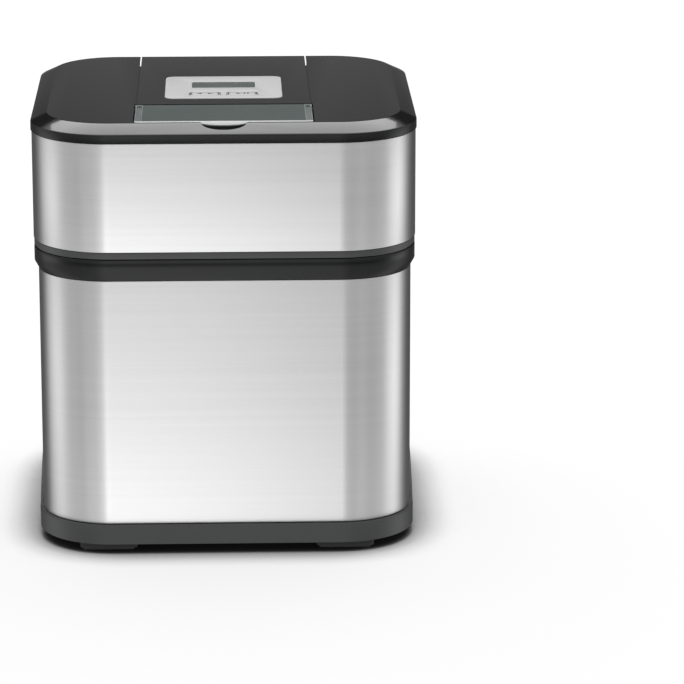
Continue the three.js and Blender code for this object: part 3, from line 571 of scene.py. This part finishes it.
def makePaddle():
    paddle = {"thick": 4 * mm, "corner": 7 * mm, "frameTop": 122 * mm, "hub": 9.5 * mm, "edge": 0.8 * mm,
              "windowNear": 14 * mm, "windowFar": 52 * mm, "windowCorner": 4 * mm,
              "windows": ((46 * mm, 74 * mm), (84 * mm, 110 * mm)),
              "spigotHole": 4.6 * mm, "spigotTop": 48 * mm, "socketFlats": 10.8 * mm, "socketLow": 136 * mm}
    low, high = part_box("paddle")
    half = paddle["thick"] / 2
    blade = startBlock("stirPaddle", (low.x, -half, low.z), (high.x, half, paddle["frameTop"]))
    softenEdges(blade, runsBack, paddle["corner"], 10)
    for side in (-1, 1):
        left, right = sorted((side * paddle["windowNear"], side * paddle["windowFar"]))
        for bottom, top in paddle["windows"]:
            window = startBlock("paddleWindow", (left, -half - mm, bottom), (right, half + mm, top))
            cut(blade, softenEdges(window, runsBack, paddle["windowCorner"], 8))
    useModifier(
        blade, "BEVEL", width=paddle["edge"], segments=3, limit_method="ANGLE", angle_limit=math.radians(50))
    join(blade, startRod("paddleHub", paddle["hub"], low.z, high.z, sides=64))
    socketReach = paddle["socketFlats"] / 2 / math.cos(math.pi / 6)
    cut(
        blade,
        startRod("spigotHole", paddle["spigotHole"], low.z - mm, paddle["spigotTop"]),
        startRod("driveSocket", socketReach, paddle["socketLow"], high.z + mm, sides=6),
    )
    hubRim = paddle["hub"] - 0.2 * mm
    softenEdges(blade, lambda edge: isFlat(edge) and edge.verts[0].co.xy.length > hubRim, paddle["edge"])
    settle(smooth(blade), paddlePlastic, "paddle", "paddle_plastic", "paddle")


fastenersThroughTray = [f"head_screw_{i}" for i in (1, 2, 3, 4)] + [f"gear_case_screw_{i}" for i in (1, 2, 3)]


def makeHeadTray():
    tray = {"floor": 160.2 * mm, "skirt": 94.9 * mm, "wall": 2 * mm, "upstand": 98.4 * mm, "edge": 0.2 * mm,
            "ribIn": 74 * mm, "ribOut": 77 * mm, "ribClear": 0.6 * mm, "rim": 0.4 * mm, "rimOut": 95.5 * mm,
            "way": 32.9 * mm, "wayFront": -62.9 * mm, "wayBack": -33.1 * mm, "bush": 8.3 * mm, "screw": 1.8 * mm}
    low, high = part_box("head_tray")
    rimLow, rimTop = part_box("collar")[1].z + gap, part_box("upper_steel_band")[0].z - gap
    skirt, floor = tray["skirt"], tray["floor"]
    piece = squareBlock("headTray", high.x, headCore, rimLow, rimTop)
    cut(piece, squareBlock("trayBelow", skirt - tray["wall"], headCore, low.z - mm, floor))

    def isOuterRim(edge):
        first = edge.verts[0].co
        outside = max(abs(first.x), abs(first.y)) > tray["rimOut"]
        return isFlat(edge) and abs(first.z - rimLow) < gap / 2 and outside

    softenEdges(piece, isOuterRim, tray["rim"])
    join(piece, squareTube(
        "traySkirt", skirt, headCore, low.z, floor + 0.4 * mm, tray["wall"] + 0.02 * mm, tray["edge"]))
    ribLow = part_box("bowl_rim")[1].z + tray["ribClear"]
    rib = startRod("trayRib", tray["ribOut"], ribLow, floor + 0.5 * mm, sides=128)
    join(piece, cut(rib, startRod("ribHollow", tray["ribIn"], ribLow - mm, floor + mm, sides=128)))
    join(piece, squareTube(
        "trayUpstand", tray["upstand"], headCore, rimTop - 0.5 * mm, high.z, tray["wall"], tray["edge"]))
    way = startBlock("chuteWay", (-tray["way"], tray["wayFront"], low.z), (tray["way"], tray["wayBack"], high.z))
    cut(piece, way, startRod("bushWay", tray["bush"], low.z, high.z))
    for node in fastenersThroughTray:
        screwLow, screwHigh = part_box(node)
        x, y = (screwLow.x + screwHigh.x) / 2, (screwLow.y + screwHigh.y) / 2
        cut(piece, startRod("screwWay", tray["screw"], low.z, high.z + mm, x, y, 24))
    settle(smooth(piece), basePlastic, "head", "trim_plastic", "head_tray")


coverSizes = {
    "bevelWide": 8.85 * mm, "bevelTall": 4.2 * mm, "wall": 2.5 * mm, "seam": 0.8 * mm,
    "consoleHalf": 45.1 * mm, "consoleFront": -42.8 * mm, "ledge": 224.9 * mm,
    "recessHalf": 46.4 * mm, "recessFront": -89.1 * mm, "recessFloor": 221 * mm,
    "hingeY": -46.6 * mm, "hingeZ": 224.9 * mm, "edge": 0.45 * mm, "behind": 101 * mm,
    "flapFront": -88.5 * mm, "lipHalf": 12.4 * mm, "lipReach": 3.4 * mm,
}


def isLevelAbove(height):
    return lambda edge: abs(edge.verts[0].co.z - edge.verts[1].co.z) < mm / 1000 and edge.verts[0].co.z > height


def coverOutside(name):  # the bevelled outside, softened along both edges of the bevel
    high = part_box("top_cover")[1]
    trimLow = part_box("upper_steel_band")[1].z + gap
    piece = squareBlock(name, high.x, headCore, trimLow, high.z - coverSizes["bevelTall"], 32)
    bevelFace(piece, facesUp, coverSizes["bevelWide"], coverSizes["bevelTall"])
    return softenEdges(piece, isLevelAbove(trimLow + mm), coverSizes["edge"], 3)


def lipRod(name, grow, low, high):  # the flap's lip as a flattened half round
    s = coverSizes
    return startMoon(name, s["lipHalf"] + grow, s["lipReach"] + grow, s["flapFront"], low, high)


def makeTopCover():
    s = coverSizes
    ledge = {"half": 48.2 * mm, "back": 96.9 * mm}
    recess = {"half": 48.6 * mm, "front": -91 * mm, "back": -40.4 * mm, "low": 218.7 * mm}
    notch = {"half": 14 * mm, "low": 218.4 * mm, "radius": 11.6 * mm, "depth": 5.568 * mm, "y": -91 * mm,
             "floor": 220.4 * mm,
             "blocks": ((-98.5 * mm, -94 * mm, 223.9 * mm), (-95 * mm, -88 * mm, 225.6 * mm))}
    skirt = {"half": 98.4 * mm, "low": 214 * mm, "high": 221 * mm, "wall": 2.2 * mm, "edge": 0.2 * mm}
    boss = {"away": 74 * mm, "radius": 4.5 * mm, "low": 166 * mm, "hole": 1.8 * mm, "holeTop": 188 * mm}
    rear = {"front": 77 * mm, "flare": mm, "flareTop": 0.8 * mm}
    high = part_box("top_cover")[1]
    top, trimLow = high.z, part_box("upper_steel_band")[1].z + gap
    piece = coverOutside("topCover")
    hollow = squareBlock("coverHollow", high.x - s["wall"], headCore, trimLow - mm, top - s["bevelTall"] - mm)
    bevelFace(hollow, facesUp, 8 * mm, s["bevelTall"] + mm - s["wall"])
    cut(piece, hollow)
    join(
        piece,
        startBlock("ledge", (-ledge["half"], s["consoleFront"], s["ledge"] - s["wall"]),
                   (ledge["half"], ledge["back"], s["ledge"])),
        startBlock("recessWalls", (-recess["half"], recess["front"], recess["low"]),
                   (recess["half"], recess["back"], top - 0.7 * mm)),
    )
    for front, back, level in notch["blocks"]:
        join(piece, startBlock("notchWall", (-notch["half"], front, notch["low"]), (notch["half"], back, level)))
    join(piece, squareTube(
        "coverSkirt", skirt["half"], headCore, skirt["low"], skirt["high"], skirt["wall"], skirt["edge"]))
    for x in (-boss["away"], boss["away"]):
        for y in (-boss["away"], boss["away"]):
            post = startRod("boss", boss["radius"], boss["low"], top - s["wall"] + 0.5 * mm, x, y)
            hole = startRod("bossHole", boss["hole"], boss["low"] - 6 * mm, boss["holeTop"], x, y, 24)
            join(piece, cut(post, hole))
    cutter = s["consoleHalf"] + s["seam"]
    cut(
        piece,
        startBlock("consoleSpace", (-cutter, s["consoleFront"] - 0.5 * mm, s["ledge"]),
                   (cutter, s["behind"], top + mm)),
        startBlock("boardWindow", (-35 * mm, -32 * mm, 220 * mm), (35 * mm, 42 * mm, top)),
        startBlock("flapRecess", (-s["recessHalf"], s["recessFront"], s["recessFloor"]),
                   (s["recessHalf"], s["consoleFront"], top + mm)),
        startBlock("chuteMouth", (-41 * mm, -84 * mm, 210 * mm), (41 * mm, -52 * mm, top)),
        startMoon("fingerNotch", notch["radius"], notch["depth"], notch["y"], notch["floor"], top + mm),
        lipRod("lipSeat", 0.4 * mm, top - 1.9 * mm, top + mm),
        startCrossRod("pinBore", 1.6 * mm, -49 * mm, 49 * mm, s["hingeY"], s["hingeZ"]),
    )
    for side in (-1, 1):  # the seams run right through the rim at the back
        ends = sorted((side * s["consoleHalf"], side * cutter))
        flare = sorted((side * s["consoleHalf"], side * (cutter + rear["flare"])))
        cut(
            piece,
            startBlock("rearSlot", (ends[0], rear["front"], trimLow - mm), (ends[1], s["behind"], top + mm)),
            startBlock("rearFlare", (flare[0], rear["front"], trimLow - mm),
                       (flare[1], s["behind"], top - rear["flareTop"])),
        )
    settle(smooth(piece, 25), coverPlastic, "head", "cover_plastic", "top_cover")
    bandTop = top - s["bevelTall"] - 0.2 * mm  # below the bevel the tool was left satin
    addFinish(piece, trimPlastic, lambda centre, normal: centre.z < bandTop and abs(normal.z) < 0.5)


def makeConsole():
    console = {"postX": 27.5 * mm, "postsY": (-22 * mm, 26 * mm), "post": 2.4 * mm, "plateCorner": 5.3 * mm,
               "windowHalf": 24 * mm, "windowFront": -23 * mm, "windowBack": 19.5 * mm}
    panelLow = coverSizes["ledge"] + gap
    piece = coverOutside("consolePanel")
    low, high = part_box("console_panel")
    keep = startBlock("consoleSpace", (low.x, low.y, panelLow), (high.x, coverSizes["behind"], high.z + mm))
    combine(piece, keep, "INTERSECT")
    for x in (-console["postX"], console["postX"]):
        for y in console["postsY"]:
            join(piece, startRod("post", console["post"], low.z, panelLow + mm, x, y, 24))
    plateLow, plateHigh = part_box("control_plate")
    recess = roundedBlock("plateRecess", (plateLow.x - gap, plateLow.y - gap, plateLow.z - gap),
                          (plateHigh.x + gap, plateHigh.y + gap, plateHigh.z + mm), console["plateCorner"], 12)
    way = startBlock("panelWindow", (-console["windowHalf"], console["windowFront"], panelLow - mm),
                     (console["windowHalf"], console["windowBack"], high.z))
    cut(piece, recess, way)
    settle(smooth(piece, 25), coverPlastic, "head", "cover_plastic", "console_panel")


def topEdges(level):
    return lambda edge: isFlat(edge) and min(vertex.co.z for vertex in edge.verts) > level - mm / 1000


def makeControls():
    face = {"sink": 0.03 * mm, "edge": 0.35 * mm}
    low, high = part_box("control_plate")
    top = high.z - face["sink"]
    plate = roundedBlock("controlPlate", low, (high.x, high.y, top), 5 * mm, 16)
    for node, radius in (("lcd_window", mm), ("button_left", 1.2 * mm), ("button_right", 1.2 * mm)):
        inLow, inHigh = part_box(node)
        cut(plate, roundedBlock("opening", (inLow.x - gap, inLow.y - gap, low.z - mm),
                                (inHigh.x + gap, inHigh.y + gap, high.z + mm), radius + gap, 6))
    softenEdges(plate, topEdges(top), face["edge"])
    settle(smooth(plate), silverPlastic, "head", "silver_plastic", "control_plate")
    low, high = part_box("lcd_window")
    lens = roundedBlock("lcdWindow", low, high, mm, 6)
    softenEdges(lens, topEdges(high.z), 0.15 * mm)
    settle(smooth(lens), display, "head", "lcd_window", "lcd_window")
    for side in ("left", "right"):
        node = "button_" + side
        low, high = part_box(node)
        capTop = high.z - face["sink"]
        cap = roundedBlock("button" + side.capitalize(), (low.x, low.y, high.z - 1.8 * mm),
                           (high.x, high.y, capTop), 1.2 * mm, 6)
        softenEdges(cap, topEdges(capTop), 0.3 * mm)
        middle = (low.x + high.x) / 2
        stem = startRod("stem", 2 * mm, low.z, high.z - mm, middle, (low.y + high.y) / 2, 24)
        join(cap, stem)
        settle(smooth(cap), silverPlastic, node, "silver_plastic", node)
        makeMarks(side, node, low, high)


def makeMarks(side, node, low, high):  # printed corner brackets and a plain symbol on each button
    ink = {"thick": 0.8 * mm, "arm": 1.5 * mm, "inset": 0.25 * mm, "line": 0.28 * mm, "sink": 0.06 * mm}
    base, top = high.z - ink["sink"], high.z
    x0, x1, y0, y1 = low.x + ink["inset"], high.x - ink["inset"], low.y + 1.6 * mm, high.y - 1.6 * mm
    t, arm = ink["thick"], ink["arm"]
    strokes = []
    for x, direction in ((x0, 1), (x1, -1)):
        ends = sorted((x, x + direction * t))
        strokes.append(((ends[0], y0), (ends[1], y1)))
        for y in (y0, y1 - t):
            reach = sorted((x, x + direction * arm))
            strokes.append(((reach[0], y), (reach[1], y + t)))
    strokes.append(((x0, y1 - ink["line"]), (x1, y1)))
    middle, centre = (low.x + high.x) / 2, (low.y + high.y) / 2
    if side == "left":  # two arrows pointing apart
        shapes = [(middle - 2.6 * mm, math.pi), (middle + 2.6 * mm, 0)]
    else:
        shapes = [(middle - 2.2 * mm, 0)]
        for x in (middle + 0.8 * mm, middle + 2.6 * mm):
            strokes.append(((x, centre - 1.7 * mm), (x + 0.8 * mm, centre + 1.7 * mm)))
    pieces = [startBlock("stroke", (a[0], a[1], base), (b[0], b[1], top)) for a, b in strokes]
    for x, turn in shapes:
        arrow = startCylinder("arrow", 1.9 * mm, top - base, (x, centre, (base + top) / 2), 3, (0, 0, turn))
        turnArrow(arrow, x, centre)
        pieces.append(arrow)
    pickNothing()
    for mark in pieces:
        mark.select_set(True)
    bpy.context.view_layer.objects.active = pieces[0]
    bpy.ops.object.join()
    marks = bpy.context.object
    marks.name = "buttonMarks" + side.capitalize()
    marks.data.materials.clear()
    marks.data.materials.append(inkPrint)
    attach(marks, node)


def turnArrow(arrow, x, y):  # swings one corner of the triangle on to the X direction
    editPiece(arrow, "VERT", lambda vertex: True)
    bpy.ops.transform.rotate(value=math.pi / 2, orient_axis="Z", center_override=(x, y, 0))
    pickNothing()


def splitAt(piece, place, direction):  # adds an edge all round where a plane crosses the piece
    pickPiece(piece)
    bpy.ops.object.mode_set(mode="EDIT")
    bpy.ops.mesh.select_all(action="SELECT")
    bpy.ops.mesh.bisect(plane_co=place, plane_no=direction)
    pickNothing()


def makeFlap():
    s = coverSizes
    flap = {"plate": 2.3 * mm, "skirt": 1.8 * mm, "knuckle": 2.75 * mm, "bore": 1.6 * mm, "ribs": 3,
            "rail": 3.9 * mm, "frontBand": 2.6 * mm, "corner": 2.6 * mm, "edge": 0.4 * mm, "behindPin": 2.2 * mm}
    low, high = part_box("fill_flap")
    top, half, front = high.z, high.x, s["flapFront"]
    plateLow, skirtBack, tuck = top - flap["plate"], s["hingeY"] - 8 * mm, 0.01 * mm

    def isFrontCorner(edge):
        return isUpright(edge) and edge.verts[0].co.y < front + mm

    piece = startBlock("fillFlap", (-half, front, plateLow), (half, s["hingeY"] + flap["behindPin"], top))
    softenEdges(piece, isFrontCorner, flap["corner"], 6)
    softenEdges(piece, topEdges(top), flap["edge"])
    around = startBlock("flapSkirt", (-half + tuck, front + tuck, low.z), (half - tuck, skirtBack, plateLow + mm))
    inside = startBlock("flapInside", (-half + flap["skirt"], front + flap["skirt"], low.z - mm),
                        (half - flap["skirt"], skirtBack + mm, plateLow))
    softenEdges(around, isFrontCorner, flap["corner"], 6)
    join(piece, cut(around, inside))
    for side in (-1, 1):
        ends = sorted((side * (half - 3.6 * mm), side * half))
        webLow = (ends[0] + tuck, skirtBack - 0.2 * mm, s["hingeZ"] - flap["knuckle"] + tuck)
        join(
            piece,
            startCrossRod("knuckle", flap["knuckle"], ends[0], ends[1], s["hingeY"], s["hingeZ"], 48),
            startBlock("knuckleWeb", webLow, (ends[1] - tuck, s["hingeY"], plateLow + mm)),
        )
        boreEnds = sorted((side * (half - 3.8 * mm), side * (half + mm)))
        cut(piece, startCrossRod("bore", flap["bore"], boreEnds[0], boreEnds[1], s["hingeY"], s["hingeZ"]))
        pocket = sorted((side * (half - 3.2 * mm), side * (half - 0.9 * mm)))
        cut(piece, startBlock("pinPocket", (pocket[0], s["hingeY"] - 4.6 * mm, top - 1.7 * mm),
                              (pocket[1], s["hingeY"] - 1.2 * mm, top + mm)))
        for i in range(flap["ribs"]):  # fine ribs under the side rails
            x = side * (half - flap["skirt"] - (0.5 + i) * 0.9 * mm)
            ribLow = (x - 0.25 * mm, front + mm, plateLow - 1.2 * mm)
            join(piece, startBlock("rib", ribLow, (x + 0.25 * mm, skirtBack, plateLow + 0.3 * mm)))
    join(piece, slopedLip(front, top))
    for side in (-1, 1):  # grooves along the side rails
        for i in range(3):
            x = side * (half - (1.1 + i) * mm)
            cut(piece, startBlock("groove", (x - 0.22 * mm, front + 2.6 * mm, top - 0.6 * mm),
                                  (x + 0.22 * mm, s["hingeY"] - 5.4 * mm, top + mm)))
        splitAt(piece, (side * (half - flap["rail"]), 0, 0), (1, 0, 0))
    splitAt(piece, (0, front + flap["frontBand"], 0), (0, 1, 0))
    settle(smooth(piece, 12), smoked, "flap", "smoked_plastic", "fill_flap")
    railIn, pocketFloor = half - flap["rail"], top - 1.5 * mm

    def getsPaintedHighlight(centre, normal):  # the front edge and lip, and the crests of the knuckles: a near-white painted highlight for the light that glints on them and comes out of the clear sheet's edge
        onFront = front - 0.05 * mm < centre.y < front + flap["frontBand"] and centre.z > top - 0.5 * mm
        onCrest = abs(centre.x) > railIn and s["hingeY"] - 0.9 * mm < centre.y and centre.z > top - 0.6 * mm
        return onFront or onCrest

    # the side rails, which get a lighter painted sheen
    def railGetsPaintedSheen(centre, normal):
        inside = front + flap["frontBand"] < centre.y < s["hingeY"] - 4.8 * mm
        return abs(centre.x) > railIn and inside and centre.z > plateLow

    def pocketFloorPaintedShade(centre, normal):  # the bottom of the small pocket in front of each pin, painted dark with the trim finish as painted shade
        inside = s["hingeY"] - 4.6 * mm < centre.y < s["hingeY"] - 1.2 * mm
        return abs(centre.x) > railIn and inside and centre.z < pocketFloor and normal.z > 0.9

    # painted highlight on the front edge and knuckle crests
    addFinish(piece, edgePaintedHighlight, getsPaintedHighlight)
    # painted highlight on the lip
    addFinish(piece, lipPaintedHighlight, lambda centre, normal: centre.y < front - 0.05 * mm)
    # painted sheen on the side rails
    addFinish(piece, railPaintedSheen, railGetsPaintedSheen)
    # painted shade: dark trim finish on the pocket floors
    addFinish(piece, trimPlastic, pocketFloorPaintedShade)


def slopedLip(front, top):  # the lip slopes down over the notch, as the cover's bevel does
    lip = {"thick": 0.8 * mm, "root": 0.5 * mm, "sink": 0.06 * mm, "slope": 13, "edge": 0.2 * mm}
    high = top - lip["sink"]
    piece = lipRod("lip", 0, high - lip["thick"], high)
    root = front + lip["root"]
    cut(piece, startBlock("lipBack", (-20 * mm, root, high - 2 * mm), (20 * mm, root + 20 * mm, high + mm)))
    softenEdges(piece, isFlat, lip["edge"])
    editPiece(piece, "VERT", lambda vertex: True)
    bpy.ops.transform.rotate(
        value=-math.radians(lip["slope"]), orient_axis="X", center_override=(0, root, high))
    pickNothing()
    return piece


def makeFeet():
    foot = {"corner": 3 * mm, "sole": 1.2 * mm, "edge": 0.5 * mm}
    for name in ("foot_front_left", "foot_front_right", "foot_rear_right", "foot_rear_left"):
        low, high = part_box(name)
        words = name.split("_")
        piece = roundedBlock("foot" + words[1].capitalize() + words[2].capitalize(),
                             (low.x, low.y, low.z + foot["sole"]), high, foot["corner"], 8)
        bevelFace(piece, facesDown, 1.6 * mm, 0)
        editPiece(piece, "FACE", lambda face: facesDown(face) and face.calc_area() > 1e-4)
        bpy.ops.mesh.extrude_region_move(TRANSFORM_OT_translate={"value": (0, 0, -foot["sole"])})
        pickNothing()
        softenEdges(piece, isFlat, foot["edge"])
        settle(smooth(piece), rubber, "base_unit", "rubber", name)


def makeScrews():
    screw = {"crossDeep": 0.9 * mm, "head": 1.8 * mm, "thread": 1.5 * mm, "edge": 0.6 * mm,
             "cross": ((1 * mm, 4.2 * mm), (4.2 * mm, 1 * mm))}
    for family, body in (("base", "base_unit"), ("head", "head")):
        for i in range(4):
            node = f"{family}_screw_{i + 1}"
            low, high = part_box(node)
            x, y, radius = (low.x + high.x) / 2, (low.y + high.y) / 2, (high.x - low.x) / 2
            headTop = low.z + screw["head"]
            piece = startRod(f"{family}Screw{i + 1}", radius, low.z, headTop, x, y, 32)
            softenEdges(piece, lambda edge: isFlat(edge) and edge.verts[0].co.z < low.z + gap, screw["edge"])
            join(piece, startRod("thread", screw["thread"], headTop - gap, high.z, x, y, 16))
            for wide, long in screw["cross"]:
                slotLow = (x - wide / 2, y - long / 2, low.z - mm)
                cut(piece, startBlock("cross", slotLow, (x + wide / 2, y + long / 2, low.z + screw["crossDeep"])))
            settle(smooth(piece), shaftSteel, body, "shaft_steel", node)


def makeStage():
    stage = {"floor": 12.0, "lens": 194.51, "pitch": 15.116, "yaw": 1.868, "place": (0, -1.9371, 0.6105)}
    pickNothing()
    bpy.ops.mesh.primitive_plane_add(size=stage["floor"], location=(0, 0, 0))
    floor = bpy.context.object
    floor.name = "paleFloor"
    floor.data.materials.append(paperSweep())
    floor.visible_glossy = False  # the steel mirrors the studio walls, not the sheet of paper

    pickNothing()
    turn = (math.radians(90 - stage["pitch"]), 0, -math.radians(stage["yaw"]))
    bpy.ops.object.camera_add(location=stage["place"], rotation=turn)
    camera = bpy.context.object
    camera.data.lens = stage["lens"]
    camera.data.clip_end = 50
    bpy.context.scene.camera = camera

    softbox = {"place": (0, 1.02, 1.72), "wide": 2.1, "deep": 1.6, "radiance": 1.55}
    bpy.ops.object.light_add(type="AREA", location=softbox["place"])
    light = bpy.context.object
    light.name = "rearSoftbox"
    light.data.shape = "RECTANGLE"
    light.data.size, light.data.size_y = softbox["wide"], softbox["deep"]
    light.data.energy = math.pi * softbox["wide"] * softbox["deep"] * softbox["radiance"]
    light.visible_camera = False
    makeStudio()
    bpy.context.scene.view_settings.view_transform = "Standard"


def paperSweep():
    # white background paper that glows through its emission; an occlusion ramp paints a contact shadow into its
    # colour and glow, so that only what stands close on it darkens it
    material, tree, shader = startMaterial("whitePaperPaintedShadow", Roughness=0.9)[:3]
    near = addNode(tree, "ShaderNodeAmbientOcclusion", {"Distance": 0.03}, samples=16)
    shade = addNode(tree, "ShaderNodeValToRGB", {"Fac": near.outputs["AO"]})
    fillRamp(shade.color_ramp, {0.3: 0.0, 0.48: 0.08, 0.58: 0.36, 0.64: 0.42, 0.8: 0.78, 0.94: 1.0})
    paper = mixColours(tree, shade.outputs["Color"], colour("303030"), colour("909090"))
    tree.links.new(paper, shader.inputs["Base Color"])
    # the floor glows, and the painted contact shadow darkens its glow near objects
    tree.links.new(shade.outputs["Color"], shader.inputs["Emission Color"])
    shader.inputs["Emission Strength"].default_value = 0.7
    return material


def makeStudio():
    # what the object mirrors, by compass direction: 0 is in front of it, 90 is on its right.
    # The camera itself sees white behind the object
    studio = {
        "ring": {-180: 0.12, -150: 0.10, -139: 0.13, -131: 0.24, -120: 0.50, -112: 0.64, -102: 0.80, -93: 0.78,
                 -79: 0.70, -65: 0.66, -52: 0.68, -40: 0.82, -27: 0.86, -16: 1.12, -7: 1.80, -1: 1.60, 5: 1.05,
                 12: 0.72, 24: 0.66, 34: 0.74, 58: 0.62, 70: 0.66, 90: 0.84, 100: 0.98, 108: 0.84, 116: 0.56,
                 123: 0.36, 131: 0.20, 139: 0.12, 150: 0.10, 180: 0.12},
        "walls": {-180: 0.10, -172: 0.10, -167: 0.02, -150: 0.03, -110: 0.40, 0: 0.40, 110: 0.40, 150: 0.03,
                  167: 0.02, 172: 0.10, 180: 0.10},
        "strip": {0: 0.1, 45: 0.12, 66: 0.5, 92: 1.9, 110: 1.7, 130: 1.0, 180: 1.0},
        "ceiling": 1.1,
    }
    world = bpy.data.worlds.new("studio")
    bpy.context.scene.world = world
    world.use_nodes = True
    tree = world.node_tree
    tree.nodes.clear()
    ray = addNode(tree, "ShaderNodeTexCoord").outputs["Generated"]
    axes = addNode(tree, "ShaderNodeSeparateXYZ", {"Vector": ray})
    towards = addNode(tree, "ShaderNodeMath", {0: axes.outputs["Y"], 1: -1.0}, operation="MULTIPLY").outputs[0]
    turn = addNode(tree, "ShaderNodeMath", {0: axes.outputs["X"], 1: towards}, operation="ARCTAN2").outputs[0]
    compass = {"Value": turn, "From Min": -math.pi, "From Max": math.pi}
    share = addNode(tree, "ShaderNodeMapRange", compass).outputs["Result"]
    ring = addNode(tree, "ShaderNodeValToRGB", {"Fac": share})
    fillRamp(ring.color_ramp, {(angle + 180) / 360: value for angle, value in studio["ring"].items()})
    walls = addNode(tree, "ShaderNodeValToRGB", {"Fac": share})
    fillRamp(walls.color_ramp, {(angle + 180) / 360: value for angle, value in studio["walls"].items()})
    strip = addNode(tree, "ShaderNodeValToRGB", {"Fac": share})
    both = {(180 + s * angle) / 360: value for angle, value in studio["strip"].items() for s in (-1, 1)}
    fillRamp(strip.color_ramp, both)
    band = addNode(tree, "ShaderNodeValToRGB", {"Fac": addNode(
        tree, "ShaderNodeMapRange", {"Value": axes.outputs["Z"], "From Min": -1.0}).outputs["Result"]})
    low, high = math.sin(math.radians(-16.3)), math.sin(math.radians(-8))
    edges = {low - 0.02: 0.0, low: 1.0, high: 1.0, high + 0.02: 0.0}
    fillRamp(band.color_ramp, {(height + 1) / 2: value for height, value in edges.items()})
    darkened = mixColours(tree, band.outputs["Color"], (1, 1, 1, 1), strip.outputs["Color"])
    lowerColour = mixColours(tree, 1.0, ring.outputs["Color"], darkened, "MULTIPLY")
    rise = addNode(tree, "ShaderNodeMapRange", {"Value": axes.outputs["Z"], "From Min": 0.0, "From Max": 0.12})
    middle = mixColours(tree, rise.outputs["Result"], lowerColour, walls.outputs["Color"])
    lift = addNode(tree, "ShaderNodeMapRange", {"Value": axes.outputs["Z"], "From Min": 0.5, "From Max": 0.75})
    roof = studio["ceiling"]
    whole = mixColours(tree, lift.outputs["Result"], middle, (roof, roof, roof, 1))
    mirrored = addNode(tree, "ShaderNodeBackground", {"Color": whole, "Strength": 1.0})
    seen = addNode(tree, "ShaderNodeBackground", {"Color": (1, 1, 1, 1), "Strength": 1.0})
    path = addNode(tree, "ShaderNodeLightPath")
    chosen = addNode(tree, "ShaderNodeMixShader", {"Fac": path.outputs["Is Camera Ray"]})
    tree.links.new(mirrored.outputs[0], chosen.inputs[1])
    tree.links.new(seen.outputs[0], chosen.inputs[2])
    addNode(tree, "ShaderNodeOutputWorld", {"Surface": chosen.outputs[0]})


def fillRamp(ramp, stops):  # grey stops along a ramp
    ramp.interpolation = "EASE"
    places = sorted(stops)
    while len(ramp.elements) < len(places):
        ramp.elements.new(0.5)
    for element, place in zip(ramp.elements, places):
        element.position = place
    for element, place in zip(ramp.elements, places):
        element.color = (stops[place], stops[place], stops[place], 1)


makeStage()
print("stage made")
makeSteel()
print("steel sleeves made")
makeBaseRing()
makeCollar()
makeFeet()
print("base made")
makeLiner()
makeBowl()
makePaddle()
print("bowl and paddle made")
makeHeadTray()
makeTopCover()
makeConsole()
print("head shells made")
makeControls()
makeFlap()
makeScrews()
print("controls, flap and screws made")
